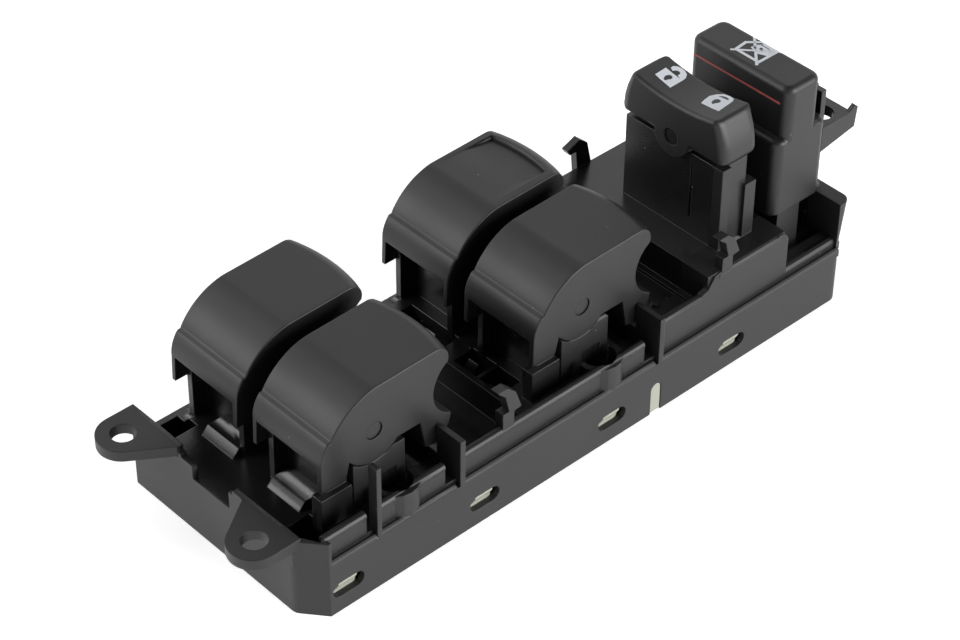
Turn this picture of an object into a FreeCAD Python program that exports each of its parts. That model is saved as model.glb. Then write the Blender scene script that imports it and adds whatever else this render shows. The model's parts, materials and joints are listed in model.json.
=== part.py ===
import FreeCAD, Part
import math
import os

V = FreeCAD.Vector

# Rocker places. Lengths run along X from the rear pair's pivot axis, widths along Y
# from the line between the two columns. Height zero is the bottom edge of the housing.
pair_pitch = 55.0
column_pitch = 25.3
pivot_z = 32.0

# Window rocker, measured from its pivot
rocker_w = 20.5
rocker_wall = 1.2
rocker_skin = 1.3
rocker_ridge = (-10.4, 3.7)
rocker_crown = (0.6, 10.55)
rocker_heel = (15.9, 10.9)
rocker_waist = (15.2, 0.2)
rocker_tail = (19.75, -6.95)
rocker_toe = -13.5
rocker_leg_low = -8.2
notch_z = -5.15
lip_low = -2.3
disc_r = 7.75
pin_r = 1.95
pin_gap = 0.06
side_gap = 0.3
rocker_swing = 8.0

# Drive lever under each rocker and the carriage that it moves
lever_tip_r = 1.6
lever_half = 1.1
lever_w = 5.0
carriage_l = 11.0
carriage_w = 7.2
carriage_lift = 0.6
carriage_floor = 0.8
tip_play = 0.8
fit = 0.06
slide_gap = 0.15

# Housing outline
rear_x = -22.6
front_gap = 2.3
near_y = -30.3
far_y = 24.9
far_step = 1.7
far_step_x = 14.0
shoulder = 1.35
corner_cut_x = 4.5
corner_cut_y = 5.4
front_corner_r = 3.0
rear_corner_r = 2.4
wall = 1.4
belt_z = 12.9
deck_z = 14.2
deck_t = 1.6
rim_z = 19.6
bead_r = 0.95
belt_bead_r = 0.8

# Rear notch, ears and side pockets
notch_near = -5.9
notch_far = 5.5
ear_out = 5.3
ear_y = 20.3
ear_r = 5.6
ear_hole_r = 2.7
ear_t = 2.5
ear_root_in = 9.9
ear_root_out = 25.9
pocket_in = 3.0
pocket_y = 16.3
pocket_z = 8.8

# Towers
tower_front = -10.8
tower_back = 7.7
tower_toe = -13.4
tower_face = -7.2
tower_plate = 1.5
sill_h = 1.8
sill_front = -13.5
slit_x = -5.6
slit_w = 0.5
slit_low = 20.5
well_x = 2.9
well_in = 5.1
well_r = 3.7
well_wall = 1.3
bay_wall_x = 15.4
bay_wall_t = 1.3
bay_wall_z = 24.3
bay_low_z = 17.3
bay_in = 6.9
guard_x = -5.4
guard_t = 1.1
guard_z = 30.4

# Trough between the pairs
trough_start = 16.7
trough_gap = 17.5
trough_z = 7.6
hatch_gap = 16.0

# Front deck and lock block
front_deck_gap = 15.6
front_deck_z = 18.0
front_rim_z = 22.5
block_gap = 31.0
block_z = 26.0
block_far = 17.0
rim_rise = 4.5
sill_z = 15.9
sill_in = 5.4
end_wall_z = 25.2
end_lean = 1.7
end_wall_t = 1.9
arm_gap = 4.9
back_plate_z = 49.7
back_plate_in = 9.3
back_plate_far = 2.0
back_plate_t = 1.4

# Front ear
front_ear_out = 4.3
front_ear_in = 13.3
front_ear_z = 39.9
front_ear_l = 9.3
front_ear_w = 10.0
flange_l = 11.2
flange_h = 4.6
flange_t = 1.0

# Lock rocker and its tower
lock_y = -9.7
lock_pivot_z = 48.6
lock_gap = 6.5
lock_w = 10.6
lock_side = 1.0
lock_low_out = 1.1
lock_low_z = 39.5
lock_half = 14.9
lock_top_half = 12.3
lock_top = 9.9
lock_sag = 1.5
lock_bevel = 0.9
lock_corner_r = 1.5
lock_lug_r = 4.7
lock_tower_half = 13.9
lock_swing = 6.0

# Window lock-out button
button_gap = 8.7
button_w = 10.2
button_in = 6.1
button_l = 28.3
button_top = 58.2
skirt_rear = 2.2
skirt_front = 3.0
skirt_play = 0.4
skirt_low = 26.8
skirt_top = 45.7
guide_drop = 8.5
guide_floor = 38.0
stem_r = 1.3
stem_low = 16.0
button_wall = 1.4
button_travel = 3.0

# Board, cover and connector
board_z = 3.2
board_t = 1.6
cover_z = 0.3
cover_t = 1.6
slot_pitch = 35.4
slot_first = -13.5
slot_l = 8.0
slot_h = 3.65
slot_z = 5.65
tab_l = 5.6
tab_t = 1.1
key_gap = 15.1
key_w = 3.0
key_h = 7.75
conn_gap = 21.3
conn_w = 36.0
conn_h = 9.6
conn_back = 6.6
conn_cavity = 11.4
conn_wall = 1.3
pin_count = 9
pin_pitch = 3.2
pin_size = 0.64
screw_r = 1.3
screw_head_r = 2.5
boss_half = 2.4

near_up = near_y + shoulder
block_x = pair_pitch + block_gap
lock_x0 = block_x + lock_gap
lock_x1 = lock_x0 + lock_w
lock_low_x1 = lock_x1 + lock_low_out
button_x0 = lock_x1 + button_gap
button_x1 = button_x0 + button_w
button_near = near_y + button_in
button_far = button_near + button_l
skirt_x0 = button_x0 - skirt_rear
skirt_x1 = button_x1 + skirt_front
well_front = skirt_x0 - skirt_play
well_far = button_far + 0.6
raised_end = well_front + 0.8
front_x = skirt_x1 + front_gap
end_inner = front_x - end_wall_t
rim_rise_x = block_x - 1.5
rim_top_x = rim_rise_x + rim_rise
arm_x = block_x + arm_gap
ear_x = rear_x - ear_out
pocket_x = rear_x + pocket_in
well_y = near_y + well_in
bay_inner = near_y + bay_in
sill_inner = near_y + sill_in
back_plate_near = near_y + back_plate_in
front_ear_x = front_x + front_ear_out
front_ear_y = near_y + front_ear_in
front_ear_end = front_x + front_ear_l
front_ear_far = front_ear_y + front_ear_w - 4.0
flange_end = front_x + flange_l
key_x = pair_pitch + key_gap
conn_x = front_x - conn_gap
far_up = far_y - shoulder
tower_half = rocker_w / 2 - rocker_wall - side_gap
board_top = board_z + board_t
tip_z = board_top + carriage_lift + carriage_floor + tip_play + lever_tip_r
carriage_top = tip_z + lever_tip_r + 0.1
lever_reach = pivot_z - tip_z
lock_lever = lock_pivot_z - tip_z
front_pair_x = pair_pitch
trough_end = pair_pitch - trough_gap
hatch_start = pair_pitch - hatch_gap
hatch_end = pair_pitch - carriage_l / 2 - 4.9
front_deck_x = pair_pitch + front_deck_gap
guide_top = button_top - guide_drop
column_near = -column_pitch / 2
column_far = column_pitch / 2
bead_y = near_up + bead_r - 0.2

# The footprint's middle becomes the origin
origin_x = (ear_x - ear_r + flange_end) / 2
origin_y = (near_y + ear_root_out) / 2


def box(x0, x1, y0, y1, z0, z1):
    return Part.makeBox(x1 - x0, y1 - y0, z1 - z0, V(x0, y0, z0))


def rod_x(r, x0, x1, y, z):
    return Part.makeCylinder(r, x1 - x0, V(x0, y, z), V(1, 0, 0))


def rod_y(r, x, y0, y1, z):
    return Part.makeCylinder(r, y1 - y0, V(x, y0, z), V(0, 1, 0))


def rod_z(r, x, y, z0, z1):
    return Part.makeCylinder(r, z1 - z0, V(x, y, z0), V(0, 0, 1))


# Upright form with few sides, for bores and shanks out of sight
def coarse_rod_z(r, x, y, z0, z1, sides=10):
    turns = [2 * math.pi * (k + 0.5) / sides for k in range(sides)]
    return plan_prism([(x + r * math.cos(a), y + r * math.sin(a)) for a in turns], z0, z1)


def coarse_tip(points_r, x, z, y0, y1):
    turns = [math.radians(a) for a in range(165, 376, 30)]
    ring = [(x + points_r * math.cos(a), z + points_r * math.sin(a)) for a in turns]
    return side_prism(ring, y0, y1)


def plan_prism(points, z0, z1):
    pts = [V(x, y, z0) for x, y in points]
    face = Part.Face(Part.makePolygon(pts + pts[:1]))
    return face.extrude(V(0, 0, z1 - z0))


def side_prism(points, y0, y1):
    pts = [V(x, y0, z) for x, z in points]
    face = Part.Face(Part.makePolygon(pts + pts[:1]))
    return face.extrude(V(0, y1 - y0, 0))


def end_prism(points, x0, x1):
    pts = [V(x0, y, z) for y, z in points]
    face = Part.Face(Part.makePolygon(pts + pts[:1]))
    return face.extrude(V(x1 - x0, 0, 0))


def join(first, *others):
    flat = []
    for item in others:
        flat += item if isinstance(item, list) else [item]
    return first.fuse(flat).removeSplitter()


def cut(body, *tools):
    flat = []
    for item in tools:
        flat += item if isinstance(item, list) else [item]
    return body.cut(flat).removeSplitter()


def soften(shape, radius, pick):
    edges = [e for e in shape.Edges if pick(e)]
    return shape.makeFillet(radius, edges) if edges else shape


def bevelled(shape, size, pick):
    return shape.makeChamfer(size, [e for e in shape.Edges if pick(e)])


def runs_along(edge, axis):
    if edge.Curve.TypeId != "Part::GeomLine":
        return False
    d = edge.Vertexes[-1].Point.sub(edge.Vertexes[0].Point)
    return d.Length > 1e-6 and abs(abs(d.dot(axis)) - d.Length) < 1e-6


def export(name, shape):
    moved = shape.copy()
    moved.translate(V(-origin_x, -origin_y, 0))
    moved.exportStep(f"parts/{name}.step")
    if not moved.isValid() or not moved.Solids:
        print("not valid:", name)


# Window rocker: one closed side profile, extruded across its width and hollowed from
# below, with a drive lever under the pivot and the two lugs' holes for the tower's pins.
def rocker_outline():
    ridge = V(rocker_ridge[0], 0, rocker_ridge[1])
    crown = V(rocker_crown[0], 0, rocker_crown[1])
    heel = V(rocker_heel[0], 0, rocker_heel[1])
    tail = V(rocker_tail[0], 0, rocker_tail[1])
    waist = V(rocker_waist[0], 0, rocker_waist[1])
    hip = V(heel.x + 3.0, 0, heel.z - 4.5)
    tail_low = V(tail.x - 4.15, 0, tail.z - 5.95)
    tail_tip = V(tail.x - 6.85, 0, tail.z - 5.2)
    notch = V(tail.x - 8.15, 0, notch_z)
    notch_in = V(math.sqrt(disc_r ** 2 - notch.z ** 2), 0, notch.z)
    disc_left = V(-disc_r * 0.8, 0, -disc_r * 0.6)
    leg_in = V(rocker_toe + 1.0, 0, rocker_leg_low)
    leg_out = V(rocker_toe, 0, rocker_leg_low)
    lip_top = V(ridge.x - 0.9, 0, ridge.z - 0.5)
    lip_mid = V(rocker_toe + 0.75, 0, ridge.z - 2.9)
    lip_side = V(rocker_toe + 0.25, 0, lip_low)
    groove = V(ridge.x - 0.25, 0, ridge.z - 0.5)
    roll = V(-4.9, 0, 8.85)
    edges = [
        Part.Arc(ridge, roll, crown),
        Part.LineSegment(crown, heel),
        Part.Arc(heel, V(heel.x + 2.75, 0, heel.z - 1.6), hip),
        Part.Arc(hip, waist, tail),
        Part.Arc(tail, V(tail.x - 1.4, 0, tail.z - 3.6), tail_low),
        Part.LineSegment(tail_low, tail_tip),
        Part.LineSegment(tail_tip, notch),
        Part.LineSegment(notch, notch_in),
        Part.Arc(notch_in, V(0, 0, -disc_r), disc_left),
        Part.LineSegment(disc_left, leg_in),
        Part.LineSegment(leg_in, leg_out),
        Part.LineSegment(leg_out, lip_side),
        Part.Arc(lip_side, lip_mid, lip_top),
        Part.LineSegment(lip_top, groove),
        Part.LineSegment(groove, ridge),
    ]
    return Part.Wire([e.toShape() for e in edges])


def window_rocker(recessed):
    half = rocker_w / 2
    outline = rocker_outline()
    body = Part.Face(outline).extrude(V(0, rocker_w, 0))
    body.translate(V(0, -half, 0))
    inner_pts = outline.makeOffset2D(-rocker_skin).discretize(Deflection=0.7)
    room = Part.Face(Part.makePolygon(inner_pts + inner_pts[:1] if inner_pts[0] != inner_pts[-1] else inner_pts))
    hollow = room.extrude(V(0, rocker_w - 2 * rocker_wall, 0))
    hollow.translate(V(0, -half + rocker_wall, 0))
    inner = half - rocker_wall
    mouth = box(rocker_toe - 1, rocker_tail[0] - 8.15, -inner, inner, -20, lip_low)
    body = cut(body, hollow, mouth)
    lever = box(-lever_half, lever_half, -lever_w / 2, lever_w / 2, -lever_reach, rocker_crown[1] - 0.8)
    tip = coarse_tip(lever_tip_r, 0, -lever_reach, -lever_w / 2, lever_w / 2)
    body = join(body, lever, tip)
    holes = rod_y(pin_r + pin_gap, 0, -half - 1, half + 1, 0)
    keep = box(-5, 5, -inner, inner, -5, 5)
    body = cut(body, holes.cut(keep))
    if recessed:
        deep = 1.0
        x0 = rocker_heel[0] - 8.6
        x1 = rocker_heel[0] - 0.4
        z1 = rocker_heel[1] - 0.05
        dish = side_prism([(x0, z1), (x0, z1 + 2), (x1 + 0.2, z1 + 2), (x1, z1 - deep)], -half + 2.0, half - 1.7)
        body = cut(body, dish)
    return body


# Contact carriage and its sprung contact strip, drawn about the lever's tip
def carriage():
    half_l = carriage_l / 2
    half_w = carriage_w / 2
    low = board_top + carriage_lift
    body = box(-half_l, half_l, -half_w, half_w, low, carriage_top)
    slot = box(-lever_tip_r - fit, lever_tip_r + fit, -lever_w / 2 - 0.2, lever_w / 2 + 0.2,
               low + carriage_floor, carriage_top + 1)
    return cut(body, slot)


def contact_strip():
    low = board_top + 0.3
    body = box(-4.6, 4.6, -2.7, 2.7, low, low + 0.3)
    slit = box(-5, 3.2, -0.4, 0.4, low - 1, low + 1)
    foot = side_prism([(-4.6, low + 0.1), (-4.6, board_top + 0.05), (-3.8, board_top + 0.05), (-3.4, low + 0.1)], -2.7, 2.7)
    far_foot = side_prism([(4.6, low + 0.1), (4.6, board_top + 0.05), (3.8, board_top + 0.05), (3.4, low + 0.1)], -2.7, 2.7)
    return cut(join(body, foot, far_foot), slit)


# Hairpin spring astride the lever
def hairpin(arm_half, reach, z0):
    t = 0.3
    gap = arm_half + 0.06
    arms = [box(gap, gap + t, -reach, carriage_w / 2 + 0.6, z0, z0 + 1.3),
            box(-gap - t, -gap, -reach, carriage_w / 2 + 0.6, z0, z0 + 1.3)]
    back = box(-gap - t, gap + t, carriage_w / 2 + 0.6, carriage_w / 2 + 0.6 + t, z0, z0 + 1.3)
    return join(back, arms)


# Guide ribs that hang from the deck beside each carriage, notched for the hairpin
def guides(x, y, z_top):
    inner = carriage_w / 2 + slide_gap
    long_half = carriage_l / 2 + 3.8
    low = board_top + 0.1
    ribs = [box(x - long_half, x + long_half, y + inner, y + inner + 1.2, low, z_top),
            box(x - long_half, x + long_half, y - inner - 1.2, y - inner, low, z_top)]
    notch = box(x - 1.7, x + 1.7, y + inner - 0.5, y + inner + 1.6, carriage_top + 0.25, carriage_top + 2.2)
    return [r.cut(notch) for r in ribs]


# Tower for one window rocker: two side plates with pivot pins, a recessed front wall
# behind a ramped sill, and a back wall; the lever passes down inside.
def tower(x, y, outside):
    z0 = deck_z - 0.5
    waist_z = pivot_z - 4.6
    plate_pts = [(tower_front, z0), (tower_back, z0), (tower_back, waist_z), (5.2, pivot_z + 1.0),
                 (3.0, pivot_z + 4.6), (-3.0, pivot_z + 4.6), (-6.4, pivot_z - 0.5), (tower_front, waist_z)]
    plate_pts = [(x + px, pz) for px, pz in plate_pts]
    plates = []
    for s in (-1, 1):
        y_out = y + s * tower_half
        y_in = y + s * (tower_half - tower_plate)
        plate = side_prism(plate_pts, min(y_out, y_in), max(y_out, y_in))
        if s == outside:
            y_skin = y + s * (rocker_w / 2 - 0.15)
            y0 = min(y_skin, y_in)
            y1 = max(y_skin, y_in)
            leg_r = math.hypot(rocker_toe, rocker_leg_low)
            leg_turn = math.atan2(-rocker_leg_low, -rocker_toe) + math.radians(rocker_swing)
            leg_room = pivot_z - leg_r * math.sin(leg_turn) - side_gap
            swing = math.radians(rocker_swing)
            ring_r = disc_r + side_gap
            drop = -notch_z / math.cos(swing) + tower_back * math.tan(swing) + side_gap
            arc = [(x + ring_r * math.cos(a), pivot_z + ring_r * math.sin(a)) for a in
                   [math.radians(d) for d in range(-66, -132, -13)]]
            skin = side_prism([(x + slit_x, z0), (x + tower_back, z0), (x + tower_back, pivot_z - drop),
                               (x + math.sqrt(ring_r ** 2 - drop ** 2), pivot_z - drop)] + arc +
                              [(x + slit_x, arc[-1][1])], y0, y1)
            toe = side_prism([(x + tower_toe, z0), (x + slit_x, z0), (x + slit_x, leg_room), (x + tower_toe, leg_room)],
                             y0, y1)
            slit = box(x + slit_x - slit_w / 2, x + slit_x + slit_w / 2, y0 - 1, y1 + 1, slit_low, pivot_z - 4.0)
            groove = box(x + slit_x - slit_w / 2, x + slit_x + slit_w / 2, y_skin - 0.35, y_skin + 0.35,
                         deck_z + 1.4, slit_low + 0.1)
            plate = join(plate, skin, toe).cut([slit, groove])
        pin_end = y + s * (rocker_w / 2 - 0.3)
        pin = rod_y(pin_r, x, min(y_in, pin_end), max(y_in, pin_end), pivot_z)
        plates += [plate, pin]
    inner = tower_half - tower_plate / 2
    face = box(x + tower_face, x + tower_face + 1.2, y - inner, y + inner, z0, waist_z)
    back = box(x + tower_back - 1.2, x + tower_back, y - inner, y + inner, z0, waist_z)
    return plates + [face, back]


def sill(x, y0, y1):
    top = deck_z + sill_h
    pts = [(x + sill_front, deck_z - 0.2), (x + sill_front + sill_h, top), (x + tower_face + 0.5, top),
           (x + tower_face + 0.5, deck_z - 0.2)]
    return side_prism(pts, y0, y1)


def shaft(x, y):
    half = tower_half - tower_plate
    return box(x + tower_face + 1.2, x + tower_back - 1.2, y - half, y + half, deck_z - deck_t - 1, deck_z + 3)


# Snap hook that stands on the near rim
def snap_hook(x, rim, tall):
    y0 = near_up
    y1 = near_up + 2.2
    stem = box(x, x + 3.0, y0, y1, rim - 1.5, rim + tall * 0.36)
    head = side_prism([(x + 0.6, rim + tall * 0.8), (x - 1.4, rim + tall), (x + 1.2, rim + tall),
                       (x + 3.3, rim + tall * 0.8), (x + 4.9, rim + tall * 0.34), (x + 1.8, rim + tall * 0.3)],
                      y0, y1)
    return [stem, head]


def plan_outline(inset, near, far):
    x0 = rear_x + inset
    x1 = front_x - inset
    y0 = near + inset
    y1 = far - inset
    cx = corner_cut_x
    cy = corner_cut_y
    k = inset * 0.4
    return [(x0, y0 + cy - k), (x0 + cx - k, y0), (x1, y0), (x1, y1 - far_step),
            (far_step_x - inset, y1 - far_step), (far_step_x - inset, y1), (x0, y1)]


def housing():
    # Skirt, belt and deck
    skirt = plan_prism(plan_outline(0, near_y, far_y), 0, belt_z)
    skirt = soften(skirt, front_corner_r, lambda e: runs_along(e, V(0, 0, 1)) and
                   abs(e.Vertexes[0].X - front_x) < 0.01 and e.Vertexes[0].Y < 0)
    skirt = soften(skirt, rear_corner_r, lambda e: runs_along(e, V(0, 0, 1)) and
                   abs(e.Vertexes[0].X - rear_x) < 0.01 and e.Vertexes[0].Y < 0)
    upper = plan_prism([(rear_x, near_y + corner_cut_y), (rear_x + corner_cut_x, near_y),
                        (rear_x + corner_cut_x + 0.6, near_y), (rear_x + corner_cut_x + 0.6, near_up),
                        (front_x, near_up), (front_x, far_up - far_step), (far_step_x, far_up - far_step),
                        (far_step_x, far_up), (rear_x, far_up)], belt_z - 0.5, deck_z)
    body = join(skirt, upper)
    r = belt_bead_r
    ledge = [(near_y, belt_z - 1.2), (near_y, belt_z), (near_y + 0.2 * r, belt_z + 0.6 * r),
             (near_y + 0.8 * r, belt_z + 1.1 * r), (near_up - 0.2 * r, belt_z + 0.9 * r), (near_up + 0.4, belt_z + 0.5 * r),
             (near_up + 0.4, belt_z - 1.2)]
    belt = [end_prism(ledge, x0, x1) for x0, x1 in
            ((rear_x + corner_cut_x + 0.4, bay_wall_x - 0.8),
             (bay_wall_x + 0.5, front_pair_x + bay_wall_x - 0.8),
             (front_pair_x + bay_wall_x + 0.5, front_x - 1.5))]
    cavity = plan_prism(plan_outline(wall, near_y, far_y), -1, belt_z - wall)
    cavity_up = plan_prism(plan_outline(wall, near_up, far_up), 0, deck_z - deck_t)
    body = cut(body, cavity, cavity_up)
    body = join(body, belt)

    # Rear wall with its notch, corner and ears
    rear = [box(rear_x, rear_x + wall, near_y + corner_cut_y, notch_near - 1.2, deck_z - 1, rim_z),
            box(rear_x, rear_x + wall, notch_near - 1.3, notch_near, deck_z - 1, rim_z - 1.0),
            box(rear_x, rear_x + wall, notch_far, notch_far + 3.6, deck_z - 1, rim_z - 2.0),
            box(rear_x, rear_x + wall, notch_far + 3.4, far_up, deck_z - 1, rim_z - ear_t / 2)]
    corner = plan_prism([(rear_x, near_y + corner_cut_y), (rear_x + corner_cut_x, near_y),
                         (rear_x + corner_cut_x + 0.6, near_y), (rear_x + corner_cut_x + 0.6, near_up + wall),
                         (rear_x + corner_cut_x - 0.6, near_y + wall), (rear_x + wall, near_y + corner_cut_y + 0.6)],
                        deck_z - 1, rim_z - 0.6)
    for s in (-1, 1):
        hole_y = s * ear_y
        disc = rod_z(ear_r, ear_x, hole_y, rim_z - ear_t, rim_z)
        lead = math.acos(ear_r / math.hypot(rear_x + 0.3 - ear_x, ear_y - ear_root_in))
        turn = math.atan2(ear_root_in - ear_y, rear_x + 0.3 - ear_x)
        a = turn - lead
        turn2 = math.atan2(ear_root_out - ear_y, rear_x + 0.3 - ear_x)
        lead2 = math.acos(min(1.0, ear_r / math.hypot(rear_x + 0.3 - ear_x, ear_root_out - ear_y)))
        b = turn2 + lead2
        web = [(rear_x + 0.3, s * ear_root_in), (ear_x + ear_r * math.cos(a), s * (ear_y + ear_r * math.sin(a))),
               (ear_x, hole_y), (ear_x + ear_r * math.cos(b), s * (ear_y + ear_r * math.sin(b))),
               (rear_x + 0.3, s * ear_root_out)]
        web_solid = plan_prism(web, rim_z - ear_t, rim_z)
        root = box(rear_x - 0.2, rear_x + wall, min(s * ear_root_in, s * ear_root_out),
                   max(s * ear_root_in, s * ear_root_out), rim_z - ear_t, rim_z)
        rear.append(join(disc, web_solid, root).cut(rod_z(ear_hole_r, ear_x, hole_y, 0, rim_z + 5)))
    gusset = end_prism([(far_up - 0.5, deck_z - 1), (ear_root_out, rim_z - ear_t), (ear_root_out, rim_z),
                        (far_up - 2.5, rim_z), (far_up - 2.5, deck_z - 1)], rear_x, rear_x + wall)
    rear.append(gusset)

    # Near wall above the belt, with its rim bead, in three runs; gaps beside the guard
    # and the bay walls
    def near_run(x0, x1, rim):
        turns = [math.radians(a) for a in (-30, 10, 50, 90, 130, 170, 205)]
        bead = [(bead_y + bead_r * math.cos(a), rim - bead_r + bead_r * math.sin(a)) for a in turns]
        foot = [(near_up, deck_z - 1), (near_up + wall, deck_z - 1), (near_up + wall, rim - 1.8 * bead_r)]
        return [end_prism(foot + bead + [(near_up, rim - 1.6 * bead_r)], x0, x1)]
    near = near_run(rear_x + corner_cut_x + 0.1, guard_x - guard_t / 2 - 1.6, rim_z)
    near += near_run(guard_x, bay_wall_x - 2.8, rim_z)
    near += near_run(bay_wall_x, front_pair_x + bay_wall_x - 3.0, rim_z)
    near += near_run(front_pair_x + bay_wall_x, rim_rise_x, front_rim_z)
    near += near_run(rim_top_x, raised_end - 2.5, block_z)
    rise = side_prism([(rim_rise_x - 0.6, deck_z - 1), (rim_rise_x - 0.6, front_rim_z), (rim_rise_x + 1.2, front_rim_z + 0.5),
                       (rim_top_x - 1.4, block_z - 0.3), (rim_top_x + 0.5, block_z), (rim_top_x + 0.5, deck_z - 1)],
                      near_up, near_up + wall)
    end_cap = join(box(raised_end - 2.6, raised_end, near_up, near_up + wall, deck_z - 1, block_z - 2.5),
                   rod_y(2.5, raised_end - 2.5, near_up, near_up + wall, block_z - 2.5))
    near += [rise, end_cap]
    # Low sill beside the button
    near += [box(raised_end - 1, end_inner + 1.5, near_up, sill_inner, deck_z - 1, sill_z - 1.0),
             end_prism([(near_up, sill_z - 1.0), (near_up + 0.3, sill_z - 0.3), (near_up + 1.0, sill_z),
                        (near_up + 2.0, sill_z - 0.3), (near_up + 2.0, sill_z - 1.2), (near_up, sill_z - 1.2)],
                       raised_end - 1, end_inner + 1),
             box(raised_end - 1, end_inner + 1, near_up + 1.0, sill_inner, sill_z - 1.2, sill_z - 0.25)]

    # Round wells bulging out of the near wall
    wells = []
    bores = []
    for x in (well_x, front_pair_x + well_x):
        ring = coarse_rod_z(well_r + well_wall, x, well_y, deck_z - deck_t - 2, rim_z - 0.4, 18)
        wells.append(ring.cut(box(x - 9, x + 9, well_y + 0.6, well_y + 9, deck_z + 0.1, rim_z + 1)))
        bores.append(coarse_rod_z(well_r, x, well_y, deck_z - deck_t + 0.7, rim_z + 0.2, 18))

    # Bay walls behind the towers and the guard beside the rear near tower
    bays = []
    for x in (bay_wall_x, front_pair_x + bay_wall_x):
        bays.append(box(x, x + bay_wall_t, near_y, bay_inner, belt_z - 1.0, bay_wall_z))
        bays.append(box(x, x + bay_wall_t, bay_inner - 0.5, far_up - far_step, deck_z - 1, bay_low_z))
    bays.append(box(guard_x - guard_t / 2, guard_x + guard_t / 2, near_y, near_y + 2.4, belt_z - 1.0, guard_z))

    # Towers, sills, pocket ribs
    towers = []
    shafts = []
    for x in (0, front_pair_x):
        towers += tower(x, column_near, -1)
        towers += tower(x, column_far, 1)
        shafts += [shaft(x, column_near), shaft(x, column_far)]
    towers += [sill(0, column_near - 3.0, column_near + 6.7), sill(0, column_far - 8.0, column_far + 1.8)]

    # Front deck, lock block and its walls
    block = [box(front_deck_x, block_x + 0.5, near_up + 0.5, far_up - far_step, deck_z - 1, front_deck_z),
             box(block_x, well_front, near_up + 0.5, block_far, deck_z - 1, block_z),
             box(well_front - 1, end_inner + 0.5, well_far, block_far, deck_z - 1, block_z),
             box(block_x - 1.6, block_x + 0.5, near_up + 0.5, far_up - far_step, front_deck_z - 0.5, front_deck_z + 0.7),
             box(front_deck_x, block_x + 0.5, near_up + 0.5, near_up + wall + 1.3, front_deck_z - 0.5, front_deck_z + 0.7),
             coarse_rod_z(0.9, block_x - 7.1, well_y + 4.6, front_deck_z - 0.2, front_deck_z + 0.5)]
    hollow = [box(front_deck_x + 1.4, block_x + 0.9, near_up + wall, far_up - far_step - wall, 5, front_deck_z - deck_t),
              box(block_x + wall, well_front - wall, near_up + wall, block_far - wall, 5, block_z - deck_t),
              box(well_front - wall - 1, end_inner, well_far + wall, block_far - wall, 5, block_z - deck_t)]
    lean = side_prism([(end_inner, deck_z - 1), (front_x, deck_z - 1), (front_x + end_lean, end_wall_z),
                       (end_inner, end_wall_z)], near_y + 0.6, block_far)
    lean = soften(lean, 2.4, lambda e: abs(e.Vertexes[0].Y - near_y - 0.6) < 0.01 and
                  abs(e.Vertexes[-1].Y - near_y - 0.6) < 0.01 and
                  abs(e.Vertexes[0].Z - e.Vertexes[-1].Z) > 5 and e.Vertexes[0].X > end_inner + 0.5)
    plate = box(front_x - back_plate_t + 0.3, front_x + 0.3, back_plate_near, back_plate_far,
                end_wall_z - 2, back_plate_z)
    root = end_prism([(back_plate_near - 1.5, end_wall_z - 0.5), (back_plate_near + 0.2, end_wall_z - 0.5),
                      (back_plate_near + 0.2, end_wall_z + 1.6), (back_plate_near - 0.6, end_wall_z + 0.4)],
                     front_x - 1.1, front_x + 0.3)

    # Front ear with its flange
    fe_z = front_ear_z
    ear = [box(front_x, front_ear_end, front_ear_y - 4.0, front_ear_far, fe_z - ear_t, fe_z),
           side_prism([(front_x, fe_z), (flange_end - 2.6, fe_z), (flange_end - 0.9, fe_z + 1.3), (flange_end, fe_z + 0.5),
                       (flange_end - 0.6, fe_z - flange_h + 0.2), (front_x, fe_z - flange_h - 1.6)],
                      front_ear_y - 4.2, front_ear_y - 4.2 + flange_t),
           box(front_x, front_ear_end, front_ear_far - 0.5, front_ear_far + 0.5, fe_z - flange_h, fe_z + 2.4)]

    # Lock rocker's tower with its pins
    lx0 = lock_x0 + lock_side + 0.25
    lx1 = lock_x1 - lock_side - 0.25
    lt = lock_tower_half
    shoulder_z = lock_pivot_z - 2.2
    lock_box = [box(lx0, lx1, lock_y - lt, lock_y + lt, block_z - 0.5, shoulder_z),
                box(lx0, lock_low_x1, lock_y - lt, lock_y + lt, block_z - 0.5, lock_low_z)]
    lock_cheeks = [end_prism([(lock_y - 4.4, shoulder_z - 1), (lock_y + 4.4, shoulder_z - 1),
                              (lock_y + 3.2, lock_pivot_z + 3.4), (lock_y - 3.2, lock_pivot_z + 3.4)], a, b)
                   for a, b in ((lx0, lx0 + 1.5), (lx1 - 1.5, lx1))]
    lock_pins = [rod_x(pin_r - 0.05, lock_x0 + 0.3, lx0 + 0.6, lock_y, lock_pivot_z),
                 rod_x(pin_r - 0.05, lx1 - 0.6, lock_x1 - 0.3, lock_y, lock_pivot_z)]
    lock_core = box(lx0 + 1.5, lx1 - 1.5, lock_y - lt + 1.5, lock_y + lt - 1.5, block_z - deck_t - 1, shoulder_z + 1)
    near_slot = box(lx0 + 2.6, lock_low_x1 - 3.2, lock_y - lt - 0.5, lock_y - lt + 0.9, block_z + 0.05, shoulder_z + 1)
    post_drop = box(lock_low_x1 - 3.3, lx1 + 0.1, lock_y - lt - 0.5, lock_y - lt + 0.9, lock_low_z, shoulder_z + 1)
    face_slit = box(lx0 - 0.5, lx0 + 0.6, lock_y - 5.6, lock_y - 5.0, block_z + 4, shoulder_z - 1)

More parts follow.
